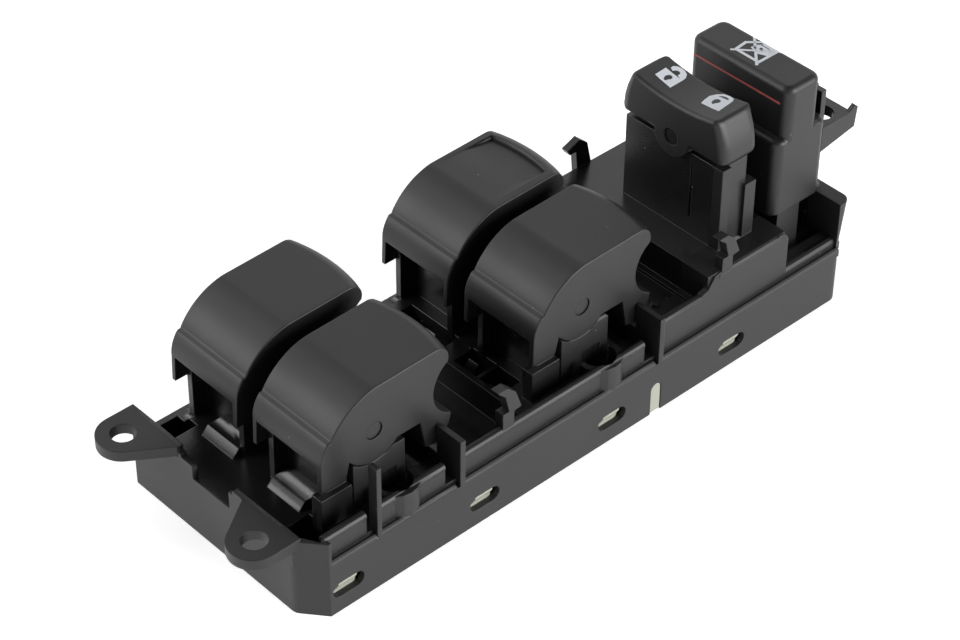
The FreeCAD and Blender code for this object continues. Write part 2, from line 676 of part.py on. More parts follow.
    # Button guide: an open box inside the cap, standing on the well's floor, with a
    # floor of its own that carries the return spring
    gx0 = button_x0 + button_wall + 0.3
    gx1 = button_x1 - button_wall - 0.3
    gy0 = button_near + button_wall + 0.3
    gy1 = button_far - button_wall - 0.3
    guide_wall = 1.2
    gx_mid = (gx0 + gx1) / 2
    gy_mid = (gy0 + gy1) / 2
    guide_box = cut(box(gx0, gx1, gy0, gy1, deck_z - 0.5, guide_top),
                    box(gx0 + guide_wall, gx1 - guide_wall, gy0 + guide_wall, gy1 - guide_wall, 5, guide_floor - 1.5),
                    box(gx0 + guide_wall, gx1 - guide_wall, gy0 + guide_wall, gy1 - guide_wall, guide_floor, 99),
                    coarse_rod_z(stem_r + 0.1, gx_mid, gy_mid, 5, guide_top))
    guide_hole = box(gx0 + guide_wall, gx1 - guide_wall, gy0 + guide_wall, gy1 - guide_wall,
                     deck_z - deck_t - 1, deck_z + 1)

    # Connector hood on the far ledge
    far_face = far_y - far_step
    hood_top = board_top + 0.4 + conn_h + 0.4
    hood = box(conn_x - conn_w / 2 - 1.6, conn_x + conn_w / 2 + 1.6, block_far - 1, far_face, deck_z - 3, hood_top + 1.3)
    hood_room = box(conn_x - conn_w / 2 - 0.3, conn_x + conn_w / 2 + 0.3, conn_back - 0.4, far_y + 1,
                    board_top + 0.1, hood_top)

    # Walls of the rear pockets and the trough, which reach below the deck
    py1 = near_up + wall
    pans = [box(pocket_x - 1.2, tower_front - 0.2, py1 - 0.5, -pocket_y, pocket_z - 1.2, deck_z - 0.5),
            box(pocket_x - 1.2, tower_front - 0.2, pocket_y, far_up - wall + 0.5, pocket_z - 1.2, deck_z - 0.5),
            box(trough_start - 1.3, trough_end + 1.5, py1 - 0.5, far_up - far_step - wall + 0.5, trough_z - 1.2, deck_z - 0.5)]
    inside = plan_prism(plan_outline(wall - 0.3, near_y, far_y), 0, deck_z)
    pans = [pan.common(inside) for pan in pans]
    pan_cuts = [box(pocket_x, tower_front - 1.4, py1, -pocket_y - 1.0, pocket_z, deck_z + 1),
                box(pocket_x, tower_front - 1.4, pocket_y + 1.0, far_up - wall, pocket_z, deck_z + 1),
                box(trough_start, trough_end, py1, far_up - far_step - wall, trough_z, deck_z + 1)]
    pans.append(box(hatch_start - 1.2, hatch_end + 1.0, -pocket_y - 1.2, pocket_y + 1.8, trough_z - 1.2, deck_z - 0.5))
    pan_cuts += [box(hatch_start, hatch_end, -pocket_y, -2.2, trough_z, deck_z + 1),
                 box(hatch_start, hatch_end, 2.2, pocket_y + 0.6, trough_z, deck_z + 1)]
    rib = [box(hatch_start - 0.5, hatch_end + 0.3, -9.9, -9.1, deck_z - 3.2, deck_z)]
    for y in (-5.5, 7.5):
        rib.append(side_prism([(hatch_start + 1.2, trough_z - 0.2), (hatch_start + 3.4, trough_z - 0.2),
                               (hatch_start + 3.4, deck_z - 1.0), (hatch_start + 2.6, deck_z + 0.2),
                               (hatch_start + 1.2, deck_z - 1.6)], y - 1.4, y + 1.4))

    # Far arm beside the lock block
    ax = arm_x
    az = block_z
    arm = side_prism([(ax, az - 9.0), (ax + 5.0, az - 9.0), (ax + 6.1, az - 2.3), (ax + 4.3, az + 5.6),
                      (ax + 2.1, az + 7.4), (ax - 1.7, az + 5.9), (ax - 0.9, az + 4.6), (ax + 1.0, az + 4.6),
                      (ax + 1.7, az - 2.3)], block_far - 0.2, block_far + 1.6)

    hooks = snap_hook(27.9, rim_z, 9.8) + snap_hook(89.6, block_z, 8.8)

    body = join(body, pans)
    body = join(body, rear, corner, near)
    body = join(body, wells, bays, block)
    body = cut(body, hollow, pan_cuts)
    body = join(body, rib, towers)
    body = cut(body, shafts, bores)
    body = join(body, lean, plate, root, ear, arm, hooks)
    body = join(body, lock_box, lock_cheeks, lock_pins, hood)
    body = cut(body, lock_core, near_slot, post_drop, face_slit, hood_room)
    floor = box(well_front - 1.6, end_inner + 0.3, sill_inner - 0.6, well_far + wall, deck_z - deck_t, deck_z)
    body = cut(body, box(well_front, end_inner, sill_inner, well_far, deck_z, block_z + 1))
    body = join(body, floor, guide_box)
    body = cut(body, guide_hole, rod_z(ear_hole_r, front_ear_x, front_ear_y, front_ear_z - 6, front_ear_z + 5))

    # Guide ribs for the carriages
    ribs = []
    for x in (0, front_pair_x):
        ribs += guides(x, column_near, deck_z - deck_t + 0.2) + guides(x, column_far, deck_z - deck_t + 0.2)
    lock_mid = (lock_x0 + lock_x1) / 2
    for s in (-1, 1):
        edge = carriage_w / 2 + slide_gap
        ribs.append(box(min(lock_mid + s * edge, lock_mid + s * (edge + 1.2)),
                        max(lock_mid + s * edge, lock_mid + s * (edge + 1.2)),
                        lock_y - carriage_l / 2 - 4.9, lock_y + carriage_l / 2 + 4.9, board_top + 0.1, block_z - deck_t + 0.3))
    lock_notch = box(lock_mid - carriage_w, lock_mid - carriage_w / 2, lock_y - 1.7, lock_y + 1.7,
                     carriage_top + 0.25, carriage_top + 2.2)
    body = join(body, [r.cut(lock_notch) for r in ribs])

    # Side slots, the key notch, the end tab's window and screw bosses
    slots = []
    for k in range(4):
        x = slot_first + k * slot_pitch
        sides = [(near_y - 1, near_y + 4)]
        if clear_of_connector(x):
            sides.append((far_y - far_step - 4, far_y + 1))
        for y0, y1 in sides:
            straight = slot_l - slot_h
            ends = [(x + side * straight / 2 + slot_h / 2 * math.cos(a), slot_z + slot_h / 2 * math.sin(a))
                    for side, start in ((1, -90), (-1, 90)) for a in
                    [math.radians(start + 36 * n) for n in range(6)]]
            slots.append(side_prism(ends, y0, y1))
    key = side_prism(arched(key_x, key_w / 2, key_h, -1), near_y - 1, near_y + 4)
    window = box(front_x - 4, front_x + 1, near_y + 2.6, near_y + 9.0, 0.8, 7.4)
    body = cut(body, slots, key, window)
    bosses = []
    boss_holes = []
    for x, y in screw_places():
        roof = front_deck_z if front_deck_x < x < block_x else deck_z
        bosses.append(box(x - boss_half, x + boss_half, y - boss_half, y + boss_half, board_top, roof - deck_t + 0.3))
        boss_holes.append(coarse_rod_z(screw_r + 0.02, x, y, board_top - 1, deck_z - deck_t - 1.0))
    body = cut(join(body, bosses), boss_holes)
    return body


def arched(x, half, top, low):
    turns = [math.radians(a) for a in range(0, 181, 30)]
    return [(x + half * math.cos(a), top - half + half * math.sin(a)) for a in turns] + [(x - half, low), (x + half, low)]


def clear_of_connector(x):
    return abs(x - conn_x) > conn_w / 2 + slot_l / 2 + 1


def screw_places():
    return [(-15.0, 0.0), (front_pair_x - 4.0, 0.0), (block_x - 7.0, 8.0), (end_inner - 3.0, -17.0)]



def curve(a, b, c, steps):
    """Points after a on the curve that leaves it towards b and ends at c."""
    out = []
    for n in range(1, steps + 1):
        u = n / steps
        out.append(tuple((1 - u) ** 2 * p + 2 * u * (1 - u) * q + u * u * r for p, q, r in zip(a, b, c)))
    return out


# End profile of the lock rocker: hollowed crown, rounded corners, bulging flanks
def lock_profile(inset):
    h = lock_half
    t = lock_top_half
    k = lock_corner_r
    crown = [(y, lock_top - lock_sag * (1 - (y / t) ** 2)) for y in [(t - k) * n / 3 for n in range(4)]]
    side = crown + curve(crown[-1], (t - 0.1, lock_top + 0.15), (t + k * 0.35, lock_top - k), 4)
    side += curve(side[-1], (h - 0.1, lock_top * 0.45), (h, 0.9), 3)
    side += curve(side[-1], (h + 0.05, -0.4), (h - 1.0, -0.4), 2)
    pts = [(-y, z) for y, z in reversed(side)] + side[1:]
    moved = []
    for n, (y, z) in enumerate(pts):
        (ya, za), (yb, zb) = pts[n - 1], pts[(n + 1) % len(pts)]
        run = math.hypot(yb - ya, zb - za)
        moved.append((y + inset * (zb - za) / run, z - inset * (yb - ya) / run))
    return moved


# Lock rocker: shell with bevelled sides, open below, with two lugs and a long lever
def lock_rocker():
    h = lock_half
    t = lock_top_half
    mid_x = (lock_x0 + lock_x1) / 2
    lip = 1.6
    b = lock_bevel
    body = end_prism(lock_profile(0), lock_x0 + b, lock_x1 - b)
    for x_in, x_out in ((lock_x0 + b, lock_x0), (lock_x1 - b, lock_x1)):
        rings = []
        for x, inset in ((x_in, 0), (x_out, b)):
            ring = [V(x, y, z) for y, z in lock_profile(inset)]
            rings.append(Part.makePolygon(ring + ring[:1]))
        body = body.fuse(Part.makeLoft(rings, True, True))
    body = body.removeSplitter()
    in_t = 1.3
    core = [V(0, -h + lip, -1.5), V(0, -t + in_t, lock_top - in_t * 1.6), V(0, 0, lock_top - lock_sag - in_t),
            V(0, t - in_t, lock_top - in_t * 1.6), V(0, h - lip, -1.5)]
    under = Part.Arc(core[1], core[2], core[3]).toShape().discretize(7)
    core = [core[0]] + under + [core[4], core[0]]
    hollow = Part.Face(Part.makePolygon(core)).extrude(V(lock_x1 - lock_x0 - 2 * lock_side, 0, 0))
    hollow.translate(V(lock_x0 + lock_side, 0, 0))
    body = cut(body, hollow)
    low_half = [(lock_lug_r * math.cos(math.radians(a)), lock_lug_r * math.sin(math.radians(a)))
                for a in range(180, 361, 15)]
    lugs = [end_prism(low_half + [(lock_lug_r, 2.5), (-lock_lug_r, 2.5)], a, a + lock_side)
            for a in (lock_x0, lock_x1 - lock_side)]
    lever = box(mid_x - lever_w / 2, mid_x + lever_w / 2, -lever_half, lever_half, -lock_lever, lock_top - lock_sag - 0.6)
    tip = turned(coarse_tip(lever_tip_r, 0, -lock_lever, -lever_w / 2, lever_w / 2))
    tip.translate(V(mid_x, 0, 0))
    body = join(body, lugs, lever, tip)
    holes = [rod_x(pin_r + 0.01, a - 0.5, a + lock_side + 0.01, 0, 0) for a in (lock_x0, lock_x1 - lock_side)]
    body = cut(body, [holes[0], rod_x(pin_r + 0.01, lock_x1 - lock_side - 0.01, lock_x1 + 1, 0, 0)])
    body.translate(V(0, lock_y, lock_pivot_z))
    return body


# Lock-out button: a deep cap with a wider skirt, its stem and the ledge between them
def lockout_button():
    x0 = button_x0
    x1 = button_x1
    upper = box(x0, x1, button_near, button_far, skirt_top - 1, button_top)
    upper = bevelled(upper, 0.9, lambda e: runs_along(e, V(0, 0, 1)))
    upper = bevelled(upper, 0.9, lambda e: min(v.Z for v in e.Vertexes) > button_top - 0.01)
    skirt = box(skirt_x0, skirt_x1, button_near, button_far, skirt_low, skirt_top)
    skirt = bevelled(skirt, 0.9, lambda e: runs_along(e, V(0, 0, 1)))
    skirt = bevelled(skirt, 0.7, lambda e: min(v.Z for v in e.Vertexes) > skirt_top - 0.01)
    w = button_wall
    room = box(x0 + w, x1 - w, button_near + w, button_far - w, skirt_top - 2, button_top - w)
    low_room = box(skirt_x0 + w, skirt_x1 - w, button_near + w, button_far - w, skirt_low - 1, skirt_top - w)
    body = cut(join(upper, skirt), room, low_room)
    stem_x = (x0 + x1) / 2
    stem_y = (button_near + button_far) / 2
    stem = coarse_rod_z(stem_r, stem_x, stem_y, stem_low, button_top - w + 0.3)
    collar = coarse_rod_z(stem_r + 1.2, stem_x, stem_y, button_top - w - 1.2, button_top - w + 0.2)
    return join(body, stem, collar)


def lockout_switch():
    x = (button_x0 + button_x1) / 2
    y = (button_near + button_far) / 2
    case = box(x - 4.0, x + 4.0, y - 4.0, y + 4.0, board_top, 12.0)
    bore = coarse_rod_z(1.25, x, y, 7.0, 13.0)
    case = cut(case, bore)
    feet = [box(x - 5.2, x + 5.2, y + sy * 2.2 - 0.4, y + sy * 2.2 + 0.4, board_top, board_top + 0.4) for sy in (-1, 1)]
    plunger = coarse_rod_z(1.15, x, y, 7.0 + button_travel + 0.3, stem_low)
    return join(case, feet), plunger


def return_spring():
    x = (button_x0 + button_x1) / 2
    y = (button_near + button_far) / 2
    z0 = guide_floor + 0.25
    z1 = button_top - button_wall - 1.45
    r = 1.78
    w = 0.2
    turns = 5
    steps = 8
    rings = []
    for k in range(turns * steps + 1):
        a = 2 * math.pi * k / steps
        z = z0 + w + (z1 - z0 - 2 * w) * k / (turns * steps)
        corners = [(r - w, z - w), (r + w, z - w), (r + w, z + w), (r - w, z + w)]
        pts = [V(x + q * math.cos(a), y + q * math.sin(a), h) for q, h in corners]
        rings.append(Part.makePolygon(pts + pts[:1]))
    return Part.makeLoft(rings, True, True)


def cover():
    inset = wall + 0.15
    plate = plan_prism(plan_outline(inset, near_y, far_y), cover_z, cover_z + cover_t)
    pads = []
    bores = []
    for x, y in screw_places():
        pads.append(box(x - 3.4, x + 3.4, y - 3.4, y + 3.4, cover_z, board_z))
        bores += [coarse_rod_z(screw_r + 0.2, x, y, -1, board_z + 1),
                  coarse_rod_z(screw_head_r + 0.25, x, y, -1, cover_z + cover_t, 16)]
    tabs = []
    for k in range(4):
        x = slot_first + k * slot_pitch
        y_in = near_y + wall + 0.15
        tabs.append(box(x - tab_l / 2, x + tab_l / 2, y_in, y_in + tab_t, cover_z + 0.2, slot_z + slot_h / 2 - 0.2))
        tabs.append(end_prism([(y_in + 0.2, slot_z - slot_h / 2 + 0.3), (near_y + 0.35, slot_z + 0.9),
                               (near_y + 0.35, slot_z + 1.3), (y_in + 0.2, slot_z + 1.45)],
                              x - tab_l / 2 + 0.5, x + tab_l / 2 - 0.5))
        if not clear_of_connector(x):
            continue
        y_out = (far_y if x < far_step_x else far_y - far_step) - wall - 0.15
        tabs.append(box(x - tab_l / 2, x + tab_l / 2, y_out - tab_t, y_out, cover_z + 0.2, slot_z + slot_h / 2 - 0.2))
        tabs.append(end_prism([(y_out - 0.2, slot_z - slot_h / 2 + 0.3), (y_out + wall - 0.2, slot_z + 0.9),
                               (y_out + wall - 0.2, slot_z + 1.3), (y_out - 0.2, slot_z + 1.45)],
                              x - tab_l / 2 + 0.5, x + tab_l / 2 - 0.5))
    key_r = key_w / 2 - 0.15
    key = side_prism(arched(key_x, key_r, key_h - 0.15, cover_z), near_y + 0.15, near_y + wall + 1.2)
    end = box(front_x - wall - 1.2, front_x - 0.6, near_y + 2.9, near_y + 8.7, cover_z + 0.6, 6.9)
    ribs = [box(rear_x + 6, front_x - 6, y, y + 1.2, cover_z, board_z - 0.4) for y in (near_y + 9.0, far_y - 9.5)]
    return cut(join(plate, pads, tabs, key, end, ribs), bores)


def board():
    plate = plan_prism(plan_outline(wall + tab_t + 0.55, near_y, far_y), board_z, board_top)
    holes = [coarse_rod_z(screw_r + 0.2, x, y, board_z - 1, board_top + 1) for x, y in screw_places()]
    places = pin_places()
    for y in sorted({p[1] for p in places}):
        xs = [p[0] for p in places if p[1] == y]
        holes.append(box(min(xs) - pin_size / 2, max(xs) + pin_size / 2, y - pin_size / 2, y + pin_size / 2,
                         board_z - 1, board_top + 1))
    return cut(plate, holes)


def pin_places():
    mid = (pin_count - 1) / 2
    z_mid = board_top + 0.4 + conn_h / 2
    rows = ((conn_back - 1.4, z_mid - 1.6), (conn_back - 3.4, z_mid + 1.6))
    return [(conn_x + (k - mid) * pin_pitch, y, z) for y, z in rows for k in range(pin_count)]


def pins():
    half = pin_size / 2
    solids = []
    for x, y, z in pin_places():
        tail = box(x - half, x + half, y - half, y + half, board_z - 0.8, z + half)
        blade = box(x - half, x + half, y - half, conn_back + 10.6, z - half, z + half)
        solids.append(join(tail, blade))
    return solids


def header(pin_solids):
    z0 = board_top + 0.4
    far_face = far_y - far_step - 0.2
    x0 = conn_x - conn_w / 2
    x1 = conn_x + conn_w / 2
    shell = box(x0, x1, conn_back, far_face, z0, z0 + conn_h)
    w = conn_wall
    cavity = box(x0 + w, x1 - w, far_face - conn_cavity, far_face + 1, z0 + w, z0 + conn_h - w)
    key = box(conn_x - 3.0, conn_x + 3.0, far_face - conn_cavity, far_face + 1, z0 + conn_h - w - 0.01, z0 + conn_h - 0.5)
    feet = [box(x - 1.5, x + 1.5, conn_back + 1, conn_back + 9, board_top, z0 + 0.2) for x in (x0 + 3, x1 - 3)]
    return cut(join(shell, feet), [cavity, key] + pin_solids)


def pad_group():
    pads = []
    half = (carriage_l / 2 - 0.5)
    for x in (0, front_pair_x):
        for y in (column_near, column_far):
            pads += [box(x + a - 3.6, x + a + 3.6, y + b - 1.0, y + b + 1.0, board_top, board_top + 0.04)
                     for a in (-4.2, 4.2) for b in (-1.6, 1.6)]
    mid = (lock_x0 + lock_x1) / 2
    pads += [box(mid + b - 1.0, mid + b + 1.0, lock_y + a - 3.6, lock_y + a + 3.6, board_top, board_top + 0.04)
             for a in (-4.2, 4.2) for b in (-1.6, 1.6)]
    return pads


def screws():
    solids = []
    for x, y in screw_places():
        head = coarse_rod_z(screw_head_r, x, y, cover_z + 0.2, cover_z + cover_t, 16)
        shank = coarse_rod_z(screw_r, x, y, cover_z + cover_t - 0.2, 10.6)
        a = box(x - 1.6, x + 1.6, y - 0.3, y + 0.3, cover_z - 0.2, cover_z + 0.9)
        b = box(x - 0.3, x + 0.3, y - 1.6, y + 1.6, cover_z - 0.2, cover_z + 0.9)
        solids.append(cut(join(head, shank), a, b))
    return solids


def turned(shape):
    copy = shape.copy()
    copy.rotate(V(0, 0, 0), V(0, 0, 1), 90)
    return copy


os.makedirs("parts", exist_ok=True)
if __name__ == "__main__":
    export("upper_housing", housing())
    spring_z = carriage_top + 0.35
    for end, x in (("rear", 0), ("front", front_pair_x)):
        for side, y in (("right", column_near), ("left", column_far)):
            rocker = window_rocker(end == "front" and side == "left")
            rocker.translate(V(x, y, pivot_z))
            export(f"window_rocker_{end}_{side}", rocker)
            for name, piece in (("contact_carriage", carriage()), ("contact_strip", contact_strip()),
                                ("centring_spring", hairpin(lever_half, lever_w / 2 + 0.6, spring_z))):
                piece.translate(V(x, y, 0))
                export(f"{name}_{end}_{side}", piece)
    export("lock_rocker", lock_rocker())
    lock_mid = (lock_x0 + lock_x1) / 2
    for name, piece in (("lock_carriage", carriage()), ("lock_contact_strip", contact_strip()),
                        ("lock_centring_spring", hairpin(lever_half, lever_w / 2 + 0.6, spring_z))):
        piece = turned(piece)
        piece.translate(V(lock_mid, lock_y, 0))
        export(name, piece)
    export("lockout_button", lockout_button())
    case, plunger = lockout_switch()
    export("lockout_switch_body", case)
    export("lockout_switch_plunger", plunger)
    export("lockout_return_spring", return_spring())
    export("base_cover", cover())
    export("circuit_board", board())
    pin_solids = pins()
    export("connector_pins", Part.makeCompound(pin_solids))
    export("connector_header", header(pin_solids))
    export("board_contacts", Part.makeCompound(pad_group()))
    export("cover_screws", Part.makeCompound(screws()))
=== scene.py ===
import json
import math

import bmesh
import bpy
from bpy.props import FloatProperty, FloatVectorProperty, PointerProperty
from mathutils import Matrix, Vector
from mathutils.bvhtree import BVHTree


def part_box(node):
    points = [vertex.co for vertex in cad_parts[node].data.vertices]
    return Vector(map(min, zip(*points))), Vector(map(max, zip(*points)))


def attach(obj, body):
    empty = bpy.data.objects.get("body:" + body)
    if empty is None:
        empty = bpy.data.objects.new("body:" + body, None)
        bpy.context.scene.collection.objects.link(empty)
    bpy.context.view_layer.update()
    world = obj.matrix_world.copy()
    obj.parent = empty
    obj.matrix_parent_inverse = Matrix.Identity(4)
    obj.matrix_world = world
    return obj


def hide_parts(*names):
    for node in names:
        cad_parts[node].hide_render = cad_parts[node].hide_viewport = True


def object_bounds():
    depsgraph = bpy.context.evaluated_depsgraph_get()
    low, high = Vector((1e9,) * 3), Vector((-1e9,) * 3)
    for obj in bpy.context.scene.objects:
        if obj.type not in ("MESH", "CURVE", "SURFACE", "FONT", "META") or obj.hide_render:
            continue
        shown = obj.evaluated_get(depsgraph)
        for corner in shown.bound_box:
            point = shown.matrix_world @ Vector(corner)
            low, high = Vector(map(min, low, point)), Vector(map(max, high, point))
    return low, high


bl_info = {
    "name": "Power window switch",
    "version": (1, 0, 0),
    "blender": (4, 5, 0),
    "location": "View3D > Sidebar > Window Switch",
    "description": "Dresses the driver's window switch: mouldings, rockers, marks, contacts and stage",
    "category": "Object",
}

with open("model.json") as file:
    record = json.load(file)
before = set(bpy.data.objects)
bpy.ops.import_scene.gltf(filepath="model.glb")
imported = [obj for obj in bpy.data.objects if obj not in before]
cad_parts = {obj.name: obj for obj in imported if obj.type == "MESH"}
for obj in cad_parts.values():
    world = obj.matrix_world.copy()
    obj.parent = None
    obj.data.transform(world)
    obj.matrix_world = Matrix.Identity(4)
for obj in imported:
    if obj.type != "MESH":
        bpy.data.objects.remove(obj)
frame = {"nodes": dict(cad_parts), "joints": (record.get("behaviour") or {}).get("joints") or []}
cad_low, cad_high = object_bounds()

# Frame's origin in millimetres along the switch, which start at the rear pair's pivot
ORIGIN_X = 52.5
ORIGIN_Y = -2.2

# Distances in metres below which points are one, and lie in one plane
WELD = 0.000002
IN_PLANE = 0.0000001

# Chamfer round the tops of the lock rocker and the lock-out button, in metres
CHAMFER = 0.0009


def at(x, y, z):
    """The frame's place for millimetres along, across and above the switch."""
    return Vector(((x - ORIGIN_X) / 1000, (y - ORIGIN_Y) / 1000, z / 1000))


def colour(name, description, default):
    return FloatVectorProperty(name=name, description=description, subtype="COLOR", size=3,
                               min=0, max=1, default=default)


def length(name, description, default):
    return FloatProperty(name=name, description=description, unit="LENGTH", min=0, default=default,
                         precision=5)


class SwitchSizes(bpy.types.PropertyGroup):
    rocker_edge: length("Rocker edge", "Radius along the rockers' side edges", 0.00045)
    leg_fill: length("Leg fill", "How far the rockers' legs widen towards the slit in the tower", 0.0054)
    tail_bow: length("Tail bow", "How far the rockers' tails bow out across their width", 0.0015)
    lock_bevel: length("Lock rocker bevel", "Width of the rim that is rolled over on the lock rocker", 0.0009)
    lock_corner: length("Lock rocker corner", "Radius of the lock rocker's upright corners", 0.0024)
    button_corner: length("Button corner", "Radius of the lock-out button's upright corners", 0.0024)
    button_edge: length("Button edge", "Radius round the lock-out button's top", 0.0016)
    skirt_edge: length("Skirt edge", "Radius along the shoulder of the button's skirt", 0.0012)
    coil_drop: length("Coil drop", "How much shorter than at rest the button's return spring is drawn", 0.003)
    ink: length("Ink", "Thickness of the printed marks", 0.00004)
    red_line: length("Red line", "Height of the line on the lock-out button", 0.00055)
    mould_edge: length("Mould edge", "Softened edge of the black moulding", 0.0003)


class SwitchColours(bpy.types.PropertyGroup):
    moulding: colour("Moulding", "Black plastic of the base moulding", (0.011, 0.011, 0.0115))
    keys: colour("Keys", "Black plastic of the rockers and the button", (0.0095, 0.0095, 0.010))
    cover: colour("Cover", "Cream nylon of the lower cover", (0.38, 0.39, 0.325))
    marks: colour("Marks", "White ink of the padlocks and the crossed window", (0.72, 0.75, 0.80))
    line: colour("Line", "Red ink of the button's line", (0.38, 0.085, 0.075))
    floor: colour("Floor", "Pale floor and backdrop", (0.92, 0.92, 0.92))


# Shader nodes
def group(name, inputs, outputs):
    """A new node group with its sockets, and its input and output nodes."""
    tree = bpy.data.node_groups.new(name, "ShaderNodeTree")
    for label, kind, default in inputs:
        socket = tree.interface.new_socket(label, in_out="INPUT", socket_type=kind)
        socket.default_value = default
    for label, kind in outputs:
        tree.interface.new_socket(label, in_out="OUTPUT", socket_type=kind)
    return tree, tree.nodes.new("NodeGroupInput"), tree.nodes.new("NodeGroupOutput")


def add(tree, kind, links=(), **settings):
    """Adds a node with its settings, and links its sockets to others or sets their values."""
    node = tree.nodes.new(kind)
    for key, value in settings.items():
        setattr(node, key, value)
    for socket, source in links:
        if hasattr(source, "is_linked"):
            tree.links.new(source, node.inputs[socket])
        else:
            node.inputs[socket].default_value = source
    return node


def maths(tree, operation, first, second):
    return add(tree, "ShaderNodeMath", [(0, first), (1, second)], operation=operation).outputs[0]


def mix(tree, factor, low, high):
    """A colour between two as the factor goes from zero to one."""
    blend = add(tree, "ShaderNodeMix", [("Factor", factor), ("A", low), ("B", high)], data_type="RGBA")
    return blend.outputs["Result"]


def span(tree, value, low, high):
    return add(tree, "ShaderNodeMapRange", [("Value", value), ("To Min", low), ("To Max", high)]).outputs[0]


def shade(look, gain, lift=0.0):
    """The colour made darker or paler, with its alpha."""
    return (*[min(1, c * gain + lift) for c in look], 1)


def moulded_grain():
    """Fine spark texture: height, and a slow cloudiness for colour and gloss."""
    tree, i, o = group("Moulded grain",
                       [("Grain", "NodeSocketFloat", 2600.0), ("Cloud", "NodeSocketFloat", 60.0)],
                       [("Height", "NodeSocketFloat"), ("Cloud", "NodeSocketFloat")])
    where = add(tree, "ShaderNodeTexCoord").outputs["Object"]
    fine = add(tree, "ShaderNodeTexNoise",
               [("Vector", where), ("Scale", i.outputs["Grain"]), ("Detail", 3.0), ("Roughness", 0.65)])
    slow = add(tree, "ShaderNodeTexNoise",
               [("Vector", where), ("Scale", i.outputs["Cloud"]), ("Detail", 4.0), ("Roughness", 0.55)])
    tree.links.new(fine.outputs["Fac"], o.inputs["Height"])
    tree.links.new(slow.outputs["Fac"], o.inputs["Cloud"])
    return tree


def rubbed_edges():
    """Softened normals at the mould's edges, and a mask of where hands have rubbed them."""
    tree, i, o = group("Rubbed edges", [("Radius", "NodeSocketFloat", 0.0003)],
                       [("Normal", "NodeSocketVector"), ("Edge", "NodeSocketFloat")])
    soft = add(tree, "ShaderNodeBevel", [("Radius", i.outputs["Radius"])], samples=6)
    true = add(tree, "ShaderNodeNewGeometry").outputs["Normal"]
    dot = add(tree, "ShaderNodeVectorMath", [(0, soft.outputs[0]), (1, true)], operation="DOT_PRODUCT")
    edge = add(tree, "ShaderNodeMapRange",
               [("Value", dot.outputs["Value"]), ("From Min", 0.995), ("From Max", 0.86)])
    tree.links.new(soft.outputs[0], o.inputs["Normal"])
    tree.links.new(edge.outputs[0], o.inputs["Edge"])
    return tree


def settled_dust():
    """Sparse round specks: one cell in four or so has one at its middle."""
    tree, i, o = group("Settled dust",
                       [("Spacing", "NodeSocketFloat", 260.0), ("Speck", "NodeSocketFloat", 0.05)],
                       [("Mask", "NodeSocketFloat")])
    empty_share = 0.72
    where = add(tree, "ShaderNodeTexCoord").outputs["Object"]
    cells = add(tree, "ShaderNodeTexVoronoi", [("Vector", where), ("Scale", i.outputs["Spacing"])])
    speck = maths(tree, "LESS_THAN", cells.outputs["Distance"], i.outputs["Speck"])
    chance = add(tree, "ShaderNodeSeparateColor", [("Color", cells.outputs["Color"])])
    some = maths(tree, "GREATER_THAN", chance.outputs[0], empty_share)
    tree.links.new(maths(tree, "MULTIPLY", speck, some), o.inputs["Mask"])
    return tree


def satin_outside():
    """One on the moulding's outer panels, which are finely textured, and zero on the glossier decks."""
    tree, i, o = group("Satin outside",
                       [("Near", "NodeSocketFloat", -0.0188), ("Far", "NodeSocketFloat", 0.0254),
                        ("Rear", "NodeSocketFloat", -0.0745)],
                       [("Mask", "NodeSocketFloat")])
    where = add(tree, "ShaderNodeTexCoord").outputs["Object"]
    axes = add(tree, "ShaderNodeSeparateXYZ", [("Vector", where)])
    near = maths(tree, "LESS_THAN", axes.outputs["Y"], i.outputs["Near"])
    far = maths(tree, "GREATER_THAN", axes.outputs["Y"], i.outputs["Far"])
    rear = maths(tree, "LESS_THAN", axes.outputs["X"], i.outputs["Rear"])
    sides = maths(tree, "MAXIMUM", near, far)
    tree.links.new(maths(tree, "MAXIMUM", sides, rear), o.inputs["Mask"])
    return tree


GROUPS = {}


def use(tree, build, **values):
    """Places a node group in the tree, and builds it the first time."""
    if build not in GROUPS:
        GROUPS[build] = build()
    node = tree.nodes.new("ShaderNodeGroup")
    node.node_tree = GROUPS[build]
    for key, value in values.items():
        node.inputs[key].default_value = value
    return node


# Materials
DUST = (0.32, 0.31, 0.29)


def new_material(name, look):
    material = bpy.data.materials.new(name)
    material.use_nodes = True
    tree = material.node_tree
    shader = tree.nodes["Principled BSDF"]
    material.diffuse_color = (*look, 1)
    return material, tree, shader


